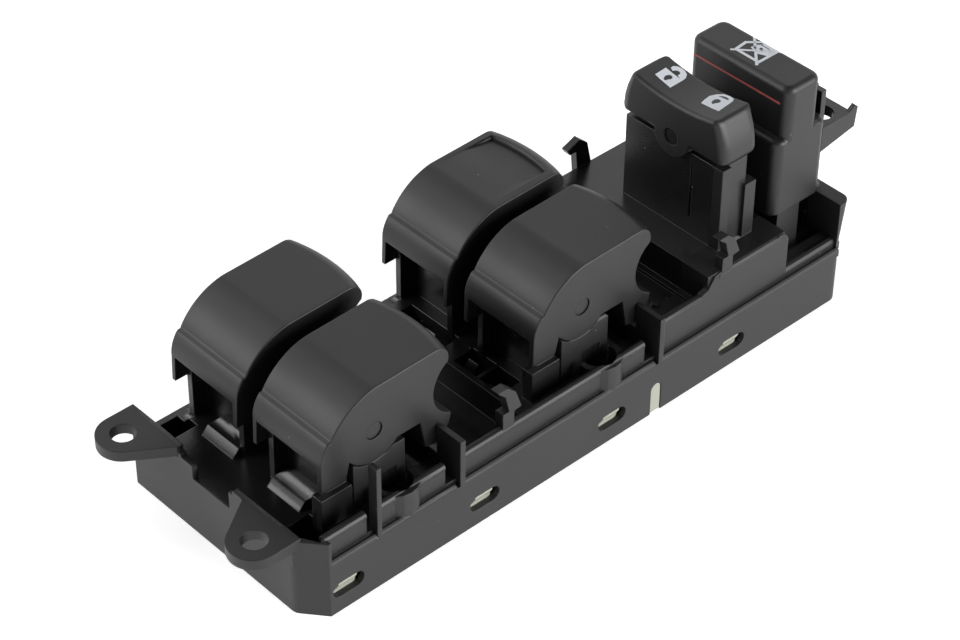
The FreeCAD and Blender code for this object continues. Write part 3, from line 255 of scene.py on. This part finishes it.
def plastic(name, look, rough=(0.40, 0.50), grain=2600.0, depth=0.000012, edge=0.00022,
            worn=0.5, dust=0.35, polished=None):
    """Moulded plastic: grain in the bump, cloudy gloss, paler rubbed edges and a few specks of dust."""
    material, tree, shader = new_material(name, look)
    texture = use(tree, moulded_grain, Grain=grain)
    edges = use(tree, rubbed_edges, Radius=edge)
    specks = use(tree, settled_dust)
    cloud = texture.outputs["Cloud"]
    cloudy = mix(tree, span(tree, cloud, 0.2, 0.8), shade(look, 0.85), shade(look, 1.15))
    rub = maths(tree, "MULTIPLY", edges.outputs["Edge"], worn)
    rubbed = mix(tree, rub, cloudy, shade(look, 1.5, lift=0.012))
    dusty = maths(tree, "MULTIPLY", specks.outputs["Mask"], dust)
    tree.links.new(mix(tree, dusty, rubbed, (*DUST, 1)), shader.inputs["Base Color"])
    gloss = span(tree, cloud, rough[0] - 0.04, rough[1] + 0.04)
    if polished:
        mask = use(tree, satin_outside).outputs["Mask"]
        inner = span(tree, cloud, *polished)
        gloss = add(tree, "ShaderNodeMix", [("Factor", mask), ("A", inner), ("B", gloss)]).outputs["Result"]
    tree.links.new(gloss, shader.inputs["Roughness"])
    bump = add(tree, "ShaderNodeBump",
               [("Height", texture.outputs["Height"]), ("Normal", edges.outputs["Normal"]),
                ("Distance", depth), ("Strength", 1.0)])
    tree.links.new(bump.outputs["Normal"], shader.inputs["Normal"])
    shader.inputs["IOR"].default_value = 1.5
    return material


def key_plastic(name, look):
    """The finer grained plastic of the rockers and the button."""
    return plastic(name, look, rough=(0.40, 0.48), grain=3000.0, dust=0.3)


def metal(name, look, rough=(0.22, 0.38)):
    """Plated strip or wire: a drawn grain in the gloss and slight tarnish in the colour."""
    material, tree, shader = new_material(name, look)
    shader.inputs["Metallic"].default_value = 1.0
    texture = use(tree, moulded_grain, Grain=900.0, Cloud=220.0)
    tone = mix(tree, texture.outputs["Cloud"], shade(look, 0.75), (*look, 1))
    tree.links.new(tone, shader.inputs["Base Color"])
    tree.links.new(span(tree, texture.outputs["Height"], *rough), shader.inputs["Roughness"])
    bump = add(tree, "ShaderNodeBump", [("Height", texture.outputs["Height"]), ("Distance", 0.000004)])
    tree.links.new(bump.outputs["Normal"], shader.inputs["Normal"])
    return material


def laminate(name, look):
    """Solder mask over copper tracks that show as slightly paler bands."""
    material, tree, shader = new_material(name, look)
    where = add(tree, "ShaderNodeTexCoord").outputs["Object"]
    tracks = add(tree, "ShaderNodeTexBrick",
                 [("Vector", where), ("Scale", 130.0), ("Mortar Size", 0.06), ("Color1", (*look, 1)),
                  ("Color2", shade(look, 0.9)), ("Mortar", shade(look, 1.9))])
    tree.links.new(tracks.outputs["Color"], shader.inputs["Base Color"])
    texture = use(tree, moulded_grain, Grain=1500.0)
    tree.links.new(span(tree, texture.outputs["Cloud"], 0.25, 0.42), shader.inputs["Roughness"])
    bump = add(tree, "ShaderNodeBump",
               [("Height", tracks.outputs["Fac"]), ("Distance", 0.00002), ("Strength", 0.6)])
    tree.links.new(bump.outputs["Normal"], shader.inputs["Normal"])
    return material


def printed(name, look):
    """Printed ink: slightly uneven cover over the grain below it."""
    material, tree, shader = new_material(name, look)
    texture = use(tree, moulded_grain, Grain=2600.0, Cloud=900.0)
    tone = mix(tree, texture.outputs["Cloud"], shade(look, 0.9), (*look, 1))
    tree.links.new(tone, shader.inputs["Base Color"])
    tree.links.new(span(tree, texture.outputs["Cloud"], 0.42, 0.6), shader.inputs["Roughness"])
    bump = add(tree, "ShaderNodeBump", [("Height", texture.outputs["Height"]), ("Distance", 0.000006)])
    tree.links.new(bump.outputs["Normal"], shader.inputs["Normal"])
    return material


def dress(node, material):
    """Gives a CAD node its finish."""
    mesh = frame["nodes"][node].data
    mesh.materials.clear()
    mesh.materials.append(material)


# Mesh making
def link(name, mesh, material, body):
    """Adds a piece that rides on a body."""
    piece = bpy.data.objects.new(name, mesh)
    bpy.context.scene.collection.objects.link(piece)
    mesh.materials.clear()
    mesh.materials.append(material)
    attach(piece, body)
    return piece


def evaluated(mesh, name, dress_up):
    """The mesh as its modifiers leave it."""
    holder = bpy.data.objects.new(name + "_holder", mesh)
    bpy.context.scene.collection.objects.link(holder)
    dress_up(holder)
    ready = holder.evaluated_get(bpy.context.evaluated_depsgraph_get())
    result = bpy.data.meshes.new_from_object(ready)
    bpy.data.objects.remove(holder)
    bpy.data.meshes.remove(mesh)
    return result


def trimmed(mesh, name, tool, operation):
    """The mesh with the tool's space cut away, or with only what lies inside the tool kept."""
    shape = bpy.data.meshes.new(name + "_tool")
    tool.to_mesh(shape)
    tool.free()
    cutter = bpy.data.objects.new(name + "_tool", shape)
    bpy.context.scene.collection.objects.link(cutter)

    def cut(holder):
        boolean = holder.modifiers.new("trim", "BOOLEAN")
        boolean.operation = operation
        boolean.solver = "EXACT"
        boolean.object = cutter

    result = evaluated(mesh, name, cut)
    bpy.data.objects.remove(cutter)
    bpy.data.meshes.remove(shape)
    return result


def weigh_normals(holder):
    """Shades each flat face flat, up to its sharp edges."""
    weigh = holder.modifiers.new("flat faces lead", "WEIGHTED_NORMAL")
    weigh.keep_sharp = True
    weigh.weight = 100


def reshaped_copy(node, name, change=None, trims=(), sharp=32):
    """The node's form with coplanar faces merged, then changed and trimmed; sharp is an angle in degrees."""
    coplanar = math.radians(0.6)
    form = bmesh.new()
    form.from_mesh(frame["nodes"][node].data)
    bmesh.ops.remove_doubles(form, verts=form.verts[:], dist=WELD)
    bmesh.ops.dissolve_limit(form, angle_limit=coplanar, verts=form.verts[:], edges=form.edges[:])
    if change:
        change(form)
    bmesh.ops.recalc_face_normals(form, faces=form.faces[:])
    mesh = bpy.data.meshes.new(name + "_form")
    form.to_mesh(mesh)
    form.free()
    for tool, operation in trims:
        mesh = trimmed(mesh, name, tool, operation)
    mesh.shade_smooth()
    mesh.set_sharp_from_angle(angle=math.radians(sharp))
    mesh = evaluated(mesh, name, weigh_normals)
    mesh.name = name
    return mesh


def block(tool, low, high):
    """Adds a closed box between two corners."""
    place = Matrix.Translation((low + high) / 2)
    bmesh.ops.create_cube(tool, size=1, matrix=place @ Matrix.Diagonal((*(high - low), 1)))


def round_edges(form, edges, radius, segments, clamp=False):
    """Rounds edges to a radius; clamped, a radius gives way where its edge is too short for it."""
    bmesh.ops.bevel(form, geom=edges, offset=radius, offset_type="OFFSET", segments=segments, profile=0.5,
                    affect="EDGES", clamp_overlap=clamp)


def cut_lines(form, place, normal):
    """Cuts new edges all round the form where a plane crosses it."""
    bmesh.ops.bisect_plane(form, geom=form.verts[:] + form.edges[:] + form.faces[:], dist=IN_PLANE,
                           plane_co=place, plane_no=normal)


def rounded_block(low, high, upright, rim):
    """A closed box with rounded upright edges and a rounded upper rim."""
    tool = bmesh.new()
    block(tool, low, high)
    standing = [e for e in tool.edges if abs(e.verts[0].co.z - e.verts[1].co.z) > (high.z - low.z) / 2]
    round_edges(tool, standing, upright, 8)
    top = [e for e in tool.edges if min(v.co.z for v in e.verts) > high.z - WELD / 2 and
           any(abs(f.normal.z) < 0.5 for f in e.link_faces)]
    round_edges(tool, top, rim, 6)
    bmesh.ops.recalc_face_normals(tool, faces=tool.faces[:])
    return tool


def ease(value):
    """Zero to one along a smooth curve."""
    value = max(0.0, min(1.0, value))
    return value * value * (3 - 2 * value)


def bow_tail(form, low, high, pivot, bow):
    """Bows the rocker's tail end outwards across its width, from its root and its foot on."""
    root, root_run = 0.008, 0.007
    foot, foot_run = -0.003, 0.011
    middle = (low.y + high.y) / 2
    half = (high.y - low.y) / 2
    strips = 12
    for k in range(1, strips):
        cut_lines(form, (0, low.y + 2 * half * k / strips, 0), (0, 1, 0))
    for vertex in form.verts:
        along = ease((vertex.co.x - pivot[0] - root) / root_run)
        upper = ease((vertex.co.z - pivot[2] - foot) / foot_run)
        across = (vertex.co.y - middle) / half
        vertex.co.x += bow * along * upper * (1 - across * across)


def roll_rim(form, low, high, width):
    """Swells the bevels beside the crown into rolled rims."""
    slack = 0.00001

    def depth(vertex):
        return min(abs(vertex.co.x - low.x), abs(vertex.co.x - high.x))

    def bevelled():
        form.normal_update()
        return [f for f in form.faces if 0.25 < abs(f.normal.x) < 0.95 and
                all(depth(v) < width + slack for v in f.verts)]

    bmesh.ops.triangulate(form, faces=bevelled())
    edges = {e for f in bevelled() for e in f.edges}
    bmesh.ops.subdivide_edges(form, edges=list(edges), cuts=3, use_grid_fill=True)
    lean = {}
    for face in bevelled():
        for vertex in face.verts:
            lean[vertex] = lean.get(vertex, Vector((0, 0, 0))) + face.normal * face.calc_area()
    for vertex, normal in lean.items():
        share = 1 - depth(vertex) / width
        if 0.02 < share < 0.98:
            outward = Vector((0, normal.y, normal.z)).normalized()
            aside = Vector((math.copysign(1, vertex.co.x - (low.x + high.x) / 2), 0, 0))
            reach = math.hypot(share, 1 - share)
            vertex.co += (outward * (1 - share) + aside * share) * width * (1 / reach - 1)


def slice_ends(form, low, high, radius):
    """Cuts lines beside both sides, for the upright corners to bend along."""
    slices = 5
    for k in range(1, slices + 1):
        inset = CHAMFER + (radius - CHAMFER) * k / slices
        for x in (low.x + inset, high.x - inset):
            cut_lines(form, (x, 0, 0), (1, 0, 0))


def draw_in_ends(form, low, high, radius):
    """Rounds the upright corners by drawing the ends in beside both sides."""
    fullness = 0.85
    reach = 2 * radius
    for vertex in form.verts:
        side = min(vertex.co.x - low.x, high.x - vertex.co.x)
        if side < radius:
            inward = fullness * radius * (1 - math.sqrt(max(0, 1 - (1 - side / radius) ** 2)))
            for end, turn in ((low.y, 1), (high.y, -1)):
                away = (vertex.co.y - end) * turn
                if away < reach:
                    vertex.co.y = end + turn * (inward + away * (1 - inward / reach))


def side_corner(edge):
    """A corner of over 40 degrees between a side, which looks across the switch, and another face."""
    sides = [abs(f.normal.y) > 0.98 for f in edge.link_faces]
    return sides.count(True) == 1 and edge.calc_face_angle(0) > math.radians(40)


def flat_print(name, outlines, carrier, material, body, thickness):
    """Fills closed outlines, in millimetres along and across, and lays them on the carrier's upper face."""
    longest_edge = 0.0006
    curve = bpy.data.curves.new(name, "CURVE")
    curve.dimensions = "2D"
    curve.fill_mode = "BOTH"
    for points in outlines:
        spline = curve.splines.new("POLY")
        spline.points.add(len(points) - 1)
        for point, (x, y) in zip(spline.points, points):
            point.co = (*at(x, y, 0), 1)
        spline.use_cyclic_u = True
    holder = bpy.data.objects.new(name + "_outline", curve)
    flat = bpy.data.meshes.new_from_object(holder)
    bpy.data.objects.remove(holder)
    bpy.data.curves.remove(curve)
    sheet = bmesh.new()
    sheet.from_mesh(flat)
    bpy.data.meshes.remove(flat)
    bmesh.ops.remove_doubles(sheet, verts=sheet.verts[:], dist=WELD / 2)
    bmesh.ops.triangulate(sheet, faces=sheet.faces[:])
    for _ in range(4):
        long = [e for e in sheet.edges if e.calc_length() > longest_edge]
        if long:
            bmesh.ops.subdivide_edges(sheet, edges=long, cuts=1)
            bmesh.ops.triangulate(sheet, faces=sheet.faces[:])
    below = bmesh.new()
    below.from_mesh(carrier)
    tree = BVHTree.FromBMesh(below)
    for vertex in sheet.verts:
        hit, normal, _, _ = tree.ray_cast(Vector((vertex.co.x, vertex.co.y, 1)), Vector((0, 0, -1)))
        if hit is None:
            raise RuntimeError(f"{name} hangs over the edge")
        vertex.co = hit + normal * thickness
    below.free()
    for face in sheet.faces:
        face.normal_update()
        if face.normal.z < 0:
            face.normal_flip()
    mesh = bpy.data.meshes.new(name)
    sheet.to_mesh(mesh)
    sheet.free()
    return link(name, mesh, material, body)


def stroke(points, width, closed=False):
    """The outline of a line of constant width through the points, with its sharpest corners cut short."""
    shortest_mitre = 0.4
    half = width / 2
    left, right = [], []
    count = len(points)
    for k, point in enumerate(points):
        here = Vector(point)
        before = Vector(points[k - 1]) if k or closed else None
        after = Vector(points[(k + 1) % count]) if k < count - 1 or closed else None
        a = (here - before).normalized() if before else (after - here).normalized()
        b = (after - here).normalized() if after else a
        mitre = Vector((-(a + b).y, (a + b).x)).normalized()
        reach = half / max(shortest_mitre, mitre.dot(Vector((-a.y, a.x))))
        left.append(tuple(here + mitre * reach))
        right.append(tuple(here - mitre * reach))
    return [left, right] if closed else [left + right[::-1]]


# Padlocks' outlines in millimetres along and across the switch: body and bow first, then their holes
PADLOCKS = {
    "open_padlock": [
        [(96.3, -0.9), (99.65, -0.7), (99.55, -4.9), (100.0, -3.85), (100.5, -3.9), (100.95, -3.65),
         (101.1, -3.05), (100.8, -2.55), (100.1, -2.2), (100.5, -1.3), (101.3, -1.25), (101.95, -1.8),
         (102.3, -2.75), (102.2, -3.85), (101.7, -4.8), (100.8, -5.45), (100.0, -5.65), (95.85, -5.75)],
        [(96.65, -3.2), (96.85, -2.8), (97.6, -2.45), (98.3, -2.5), (98.8, -2.9), (98.8, -3.45),
         (98.45, -3.85), (97.85, -3.9), (97.4, -3.6), (96.8, -3.55)]],
    "closed_padlock": [
        [(96.6, -13.8), (97.9, -13.4), (99.7, -13.15), (101.2, -13.8), (102.2, -14.9), (102.45, -16.5),
         (102.1, -17.7), (101.5, -18.15), (100.8, -18.3), (96.45, -18.8)],
        [(100.85, -14.55), (101.4, -15.2), (101.65, -16.1), (101.45, -17.0), (101.0, -17.2), (100.95, -15.9)],
        [(97.95, -15.4), (98.6, -14.95), (99.5, -14.9), (100.0, -15.35), (99.95, -16.1), (99.5, -16.5),
         (98.85, -16.35), (98.4, -16.0), (97.85, -15.9)]],
}

# Crossed window's outlines in the same millimetres: frame, two strokes of the cross, and glass with its holes
PANE = [(114.95, -6.1), (118.3, -5.75), (120.9, -8.1), (120.9, -12.6), (114.9, -12.6)]
CROSSED_WINDOW = {
    "window_outline": stroke(PANE, 0.75, closed=True),
    "window_cross_a": stroke([(114.0, -5.4), (121.2, -13.3)], 0.62),
    "window_cross_b": stroke([(121.3, -5.4), (113.8, -13.1)], 0.62),
    "window_glass": [
        [(117.7, -7.7), (119.2, -7.9), (120.5, -8.9), (120.5, -12.4), (117.9, -12.4), (116.9, -10.2)],
        [(118.5, -9.3), (119.2, -9.3), (119.2, -10.0), (118.5, -10.0)],
        [(119.5, -8.4), (120.1, -8.7), (120.1, -11.0), (119.85, -11.0), (119.85, -8.8)]],
}

# Rooms on the far side of the left rockers' towers, where the moulding has no skin or toe, in millimetres
# along the switch: each one's tower, front end, near side, foot and top
BARE_FLANKS = ((0, 8.5, 21.41, 14.21, 28), (55, 8.5, 21.41, 14.21, 28), (55, 8.5, 21.86, 12.92, 14.22),
               (0, -10.81, 19.85, 14.21, 28), (55, -10.81, 19.85, 14.21, 28))
FLANK_REAR = -14.5
FLANK_FAR = 22.95


class WINDOWSWITCH_OT_mouldings(bpy.types.Operator):
    """Finish the base moulding, its left towers bare on their far sides, and the lower cover"""
    bl_idname = "windowswitch.mouldings"
    bl_label = "Base moulding and cover"

    def execute(self, context):
        tones = context.scene.switch_colours
        sizes = context.scene.switch_sizes
        black = plastic("black_moulding", tones.moulding, rough=(0.42, 0.52), grain=2200.0, depth=0.00002,
                        edge=sizes.mould_edge, polished=(0.20, 0.30))
        trims = []
        for tower, front, near, foot, top in BARE_FLANKS:
            tool = bmesh.new()
            block(tool, at(tower + FLANK_REAR, near, foot), at(tower + front, FLANK_FAR, top))
            trims.append((tool, "DIFFERENCE"))
        mesh = reshaped_copy("upper_housing", "base_moulding", trims=trims, sharp=14)
        moulding = link("base_moulding", mesh, black, "housing")
        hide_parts("upper_housing")
        cream = plastic("cream_nylon", tones.cover, rough=(0.45, 0.6), grain=1500.0, depth=0.00001,
                        worn=0.2, dust=0.2)
        dress("base_cover", cream)
        return {"FINISHED"}


class WINDOWSWITCH_OT_rockers(bpy.types.Operator):
    """Make the four window rockers with filled legs, bowed tails and rolled side edges"""
    bl_idname = "windowswitch.rockers"
    bl_label = "Window rockers"

    def execute(self, context):
        tones = context.scene.switch_colours
        sizes = context.scene.switch_sizes
        black = key_plastic("black_rocker", tones.keys)
        leg_back, leg_foot = -0.0125, -0.0082
        boss = 0.003
        at_corner = 0.0001
        at_side = 0.00002
        for place in ("rear_right", "rear_left", "front_right", "front_left"):
            node = f"window_rocker_{place}"
            low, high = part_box(node)
            pivot = next(j for j in frame["joints"] if j["child"] == node)["pos_m"]

            def rolled(edge):
                middle = (edge.verts[0].co + edge.verts[1].co) / 2
                outer = min(abs(middle.y - low.y), abs(middle.y - high.y)) < at_side
                clear = (Vector((middle.x, middle.z)) - Vector((pivot[0], pivot[2]))).length > boss
                return outer and clear and side_corner(edge)

            def change(form):
                for vertex in form.verts:
                    x, z = vertex.co.x - pivot[0], vertex.co.z - pivot[2]
                    if abs(x - leg_back) < at_corner and abs(z - leg_foot) < at_corner:
                        vertex.co.x += sizes.leg_fill
                bow_tail(form, low, high, pivot, sizes.tail_bow)
                edges = [e for e in form.edges if len(e.link_faces) == 2 and rolled(e)]
                round_edges(form, edges, sizes.rocker_edge, 4, clamp=True)

            mesh = reshaped_copy(node, f"{node}_shell", change)
            piece = link(f"{node}_shell", mesh, black, node)
            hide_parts(node)
        return {"FINISHED"}


class WINDOWSWITCH_OT_lock_rocker(bpy.types.Operator):
    """Make the door lock rocker and print its two padlocks"""
    bl_idname = "windowswitch.lock_rocker"
    bl_label = "Lock rocker"

    def execute(self, context):
        tones = context.scene.switch_colours
        sizes = context.scene.switch_sizes
        black = key_plastic("black_lock_rocker", tones.keys)
        low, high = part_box("lock_rocker")

        def change(form):
            slice_ends(form, low, high, sizes.lock_corner)
            roll_rim(form, low, high, sizes.lock_bevel)
            draw_in_ends(form, low, high, sizes.lock_corner)

        mesh = reshaped_copy("lock_rocker", "lock_rocker_shell", change, sharp=38)
        shell = link("lock_rocker_shell", mesh, black, "lock_rocker")
        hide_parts("lock_rocker")
        ink = printed("white_ink", tones.marks)
        for name, outlines in PADLOCKS.items():
            flat_print(name, outlines, shell.data, ink, "lock_rocker", sizes.ink)
        return {"FINISHED"}


def button_envelope(low, high, sizes):
    """A rounded hood over a rounded skirt, a hair larger than the button except at its rounded edges."""
    hair = Vector((0.00001, 0.00001, 0.00001))
    hood_height = 0.0125
    overlap = 0.004
    ledge = high.z - hood_height
    button = frame["nodes"]["lockout_button"].data
    crest = [v.co.x for v in button.vertices if v.co.z > high.z - hair.z]
    hood = rounded_block(Vector((min(crest) - CHAMFER, low.y, ledge - overlap)) - hair,
                         Vector((max(crest) + CHAMFER, high.y, high.z)) + hair,
                         sizes.button_corner, sizes.button_edge)
    skirt = rounded_block(low - hair - hair, Vector((high.x, high.y, ledge)) + hair,
                          sizes.button_corner, sizes.skirt_edge)
    upper = bpy.data.meshes.new("button_hood")
    hood.to_mesh(upper)
    hood.free()
    both = trimmed(upper, "button_hood", skirt, "UNION")
    outer = bmesh.new()
    outer.from_mesh(both)
    bpy.data.meshes.remove(both)
    return outer


def line_mesh(sizes):
    """The line on the button's rear face, a strip with round ends."""
    x = at(111.8, 0, 0).x - sizes.ink
    z = 0.05405
    far_end = at(0, 2.4, 0).y
    near_end = at(0, -21.7, 0).y
    half = sizes.red_line / 2
    roundness = 0.9
    points = [(x, y + side * half * roundness * math.sin(a), z + half * math.cos(a))
              for y, side, turns in ((far_end, 1, range(0, 181, 20)), (near_end, -1, range(180, -1, -20)))
              for a in map(math.radians, turns)]
    mesh = bpy.data.meshes.new("red_line")
    mesh.from_pydata(points, [], [list(range(len(points)))])
    mesh.update()
    if mesh.polygons[0].normal.x > 0:
        mesh.flip_normals()
    return mesh


class WINDOWSWITCH_OT_lockout_button(bpy.types.Operator):
    """Finish the window lock-out button, its red line and its crossed window"""
    bl_idname = "windowswitch.lockout_button"
    bl_label = "Lock-out button"

    def execute(self, context):
        tones = context.scene.switch_colours
        sizes = context.scene.switch_sizes
        black = key_plastic("black_button", tones.keys)
        low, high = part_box("lockout_button")
        envelope = button_envelope(low, high, sizes)
        trims = [(envelope, "INTERSECT")]
        mesh = reshaped_copy("lockout_button", "lockout_button_shell", trims=trims, sharp=38)
        shell = link("lockout_button_shell", mesh, black, "lockout_button")
        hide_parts("lockout_button")
        ink = printed("window_mark_ink", tones.marks)
        for name, outlines in CROSSED_WINDOW.items():
            flat_print(name, outlines, shell.data, ink, "lockout_button", sizes.ink)
        link("red_line", line_mesh(sizes), printed("red_ink", tones.line), "lockout_button")
        return {"FINISHED"}


class WINDOWSWITCH_OT_inner_parts(bpy.types.Operator):
    """Finish the board, the connector, the sliders, the springs and the screws"""
    bl_idname = "windowswitch.inner_parts"
    bl_label = "Inner parts"

    def execute(self, context):
        def squeeze(form):
            """Brings the coil to its pressed length, which the button clears over its whole travel."""
            foot = min(v.co.z for v in form.verts)
            head = max(v.co.z for v in form.verts)
            share = 1 - context.scene.switch_sizes.coil_drop / (head - foot)
            for vertex in form.verts:
                vertex.co.z = foot + (vertex.co.z - foot) * share

        dress("circuit_board", laminate("board_green", (0.012, 0.075, 0.035)))
        header = plastic("header_black", (0.018, 0.018, 0.018), rough=(0.5, 0.6), grain=1800.0)
        dress("connector_header", header)
        dress("lockout_switch_body", plastic("switch_case_grey", (0.05, 0.05, 0.052), rough=(0.45, 0.55)))
        tin = metal("tin_plate", (0.72, 0.71, 0.68))
        gold = metal("gold_plate", (0.83, 0.62, 0.28))
        bronze = metal("spring_bronze", (0.70, 0.47, 0.26))
        steel = metal("spring_steel", (0.56, 0.56, 0.57))
        zinc = metal("screw_zinc", (0.62, 0.63, 0.62), rough=(0.3, 0.45))
        white = plastic("white_nylon", (0.68, 0.68, 0.64), rough=(0.4, 0.5), grain=1500.0,
                        worn=0.1, dust=0.1)
        dress("connector_pins", tin)
        dress("board_contacts", gold)
        dress("cover_screws", zinc)
        for node in frame["nodes"]:
            if node == "lockout_return_spring":
                coil = link("return_coil", reshaped_copy(node, "return_coil", squeeze), steel, "housing")
                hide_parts(node)
            elif "spring" in node:
                dress(node, steel)
            elif "contact_strip" in node:
                dress(node, bronze)
            elif "carriage" in node or node == "lockout_switch_plunger":
                dress(node, white)
        return {"FINISHED"}


def floor_mesh():
    """A floor that sweeps up into a backdrop behind the switch."""
    reach, wall_top = 3.0, 3.0
    bend_start, bend = 1.2, 0.8
    steps = 12
    angles = [math.pi / 2 * k / steps for k in range(1, steps + 1)]
    profile = [(-reach, 0.0), (bend_start, 0.0)]
    profile += [(bend_start + bend * math.sin(a), bend - bend * math.cos(a)) for a in angles]
    profile += [(bend_start + bend, wall_top)]
    points = [(x, y, z) for x in (-reach, reach) for y, z in profile]
    n = len(profile)
    mesh = bpy.data.meshes.new("floor")
    mesh.from_pydata(points, [], [(k, n + k, n + k + 1, k + 1) for k in range(n - 1)])
    mesh.shade_smooth()
    return mesh


def pale_paint(look):
    """Matt paint that also glows a little where the camera or a reflection sees it."""
    pale, tree, shader = new_material("pale_floor", look)
    shader.inputs["Base Color"].default_value = (*look, 1)
    shader.inputs["Roughness"].default_value = 0.9
    shader.inputs["Specular IOR Level"].default_value = 0.1
    shader.inputs["Emission Color"].default_value = (1, 1, 1, 1)
    path = add(tree, "ShaderNodeLightPath")
    seen = maths(tree, "MAXIMUM", path.outputs["Is Camera Ray"], path.outputs["Is Glossy Ray"])
    through = maths(tree, "MAXIMUM", seen, path.outputs["Is Transmission Ray"])
    glow = maths(tree, "MULTIPLY", through, 0.6)
    tree.links.new(glow, shader.inputs["Emission Strength"])
    return pale


def soft_sky():
    """A world that is brighter at the horizon than overhead."""
    world = bpy.data.worlds.new("soft_sky")
    world.use_nodes = True
    tree = world.node_tree
    sky = tree.nodes["Background"]
    where = add(tree, "ShaderNodeTexCoord").outputs["Generated"]
    height = add(tree, "ShaderNodeSeparateXYZ", [("Vector", where)]).outputs["Z"]
    ramp = add(tree, "ShaderNodeMapRange",
               [("Value", height), ("From Min", 0.12), ("From Max", 0.75),
                ("To Min", 0.55), ("To Max", 0.12)])
    tree.links.new(ramp.outputs[0], sky.inputs["Strength"])
    sky.inputs["Color"].default_value = (1, 1, 1, 1)
    return world


# Soft boxes: name, place and side in metres, and power in watts
SOFT_BOXES = (("back_softbox", (-0.28, 0.76, 0.96), 0.6, 2.2),
              ("left_softbox", (-0.9, 0.75, 0.62), 0.7, 7.0),
              ("right_softbox", (0.45, -1.1, 0.35), 0.8, 18.0))

# Camera's place in metres, its axes, and its focal length for a film 36 mm wide
CAMERA_PLACE = (-0.308941, -0.325830, 0.389140)
CAMERA_RIGHT = (0.73556, -0.67743, 0.00544)
CAMERA_UP = (0.42903, 0.47203, 0.77014)
CAMERA_BACK = (-0.52429, -0.56416, 0.63785)
FOCAL_LENGTH = 105.775
FILM_WIDTH = 36


class WINDOWSWITCH_OT_stage(bpy.types.Operator):
    """Lay the pale floor, hang the soft lights and set the camera"""
    bl_idname = "windowswitch.stage"
    bl_label = "Stage"

    def execute(self, context):
        scene = context.scene
        floor = bpy.data.objects.new("floor", floor_mesh())
        scene.collection.objects.link(floor)
        clearance = 0.00002
        camera_side = math.radians(-43)
        floor.location.z = cad_low.z - clearance
        floor.rotation_euler.z = camera_side
        floor.data.materials.append(pale_paint(scene.switch_colours.floor))
        scene.world = soft_sky()

        aim = Vector((0, 0, 0.02))
        for name, place, side, power in SOFT_BOXES:
            lamp = bpy.data.lights.new(name, "AREA")
            lamp.energy = power
            lamp.size = side
            holder = bpy.data.objects.new(name, lamp)
            scene.collection.objects.link(holder)
            holder.location = place
            holder.rotation_euler = (aim - Vector(place)).to_track_quat("-Z", "Y").to_euler()

        lens = bpy.data.cameras.new("camera")
        lens.sensor_fit = "HORIZONTAL"
        lens.sensor_width = FILM_WIDTH
        lens.lens = FOCAL_LENGTH
        lens.clip_start = 0.01
        camera = bpy.data.objects.new("camera", lens)
        scene.collection.objects.link(camera)
        turn = Matrix((CAMERA_RIGHT, CAMERA_UP, CAMERA_BACK)).transposed()
        camera.matrix_world = Matrix.Translation(CAMERA_PLACE) @ turn.to_4x4()
        scene.camera = camera
        scene.view_settings.view_transform = "Standard"
        return {"FINISHED"}


class WINDOWSWITCH_PT_panel(bpy.types.Panel):
    """Lists the switch's pieces, sizes and colours"""
    bl_idname = "WINDOWSWITCH_PT_panel"
    bl_label = "Window Switch"
    bl_space_type = "VIEW_3D"
    bl_region_type = "UI"
    bl_category = "Window Switch"

    def draw(self, context):
        for settings in (context.scene.switch_sizes, context.scene.switch_colours):
            for name in settings.bl_rna.properties.keys():
                if name not in ("rna_type", "name"):
                    self.layout.prop(settings, name)
        for step in STEPS:
            self.layout.operator(step.bl_idname)


STEPS = (WINDOWSWITCH_OT_mouldings, WINDOWSWITCH_OT_rockers, WINDOWSWITCH_OT_lock_rocker,
         WINDOWSWITCH_OT_lockout_button, WINDOWSWITCH_OT_inner_parts, WINDOWSWITCH_OT_stage)
CLASSES = (SwitchSizes, SwitchColours, *STEPS, WINDOWSWITCH_PT_panel)


def register():
    for kind in CLASSES:
        bpy.utils.register_class(kind)
    bpy.types.Scene.switch_sizes = PointerProperty(type=SwitchSizes)
    bpy.types.Scene.switch_colours = PointerProperty(type=SwitchColours)


def unregister():
    del bpy.types.Scene.switch_colours
    del bpy.types.Scene.switch_sizes
    for kind in reversed(CLASSES):
        bpy.utils.unregister_class(kind)


def main():
    register()
    for name in ("mouldings", "rockers", "lock_rocker", "lockout_button", "inner_parts", "stage"):
        getattr(bpy.ops.windowswitch, name)()
    bpy.context.view_layer.update()


if __name__ == "__main__":
    main()
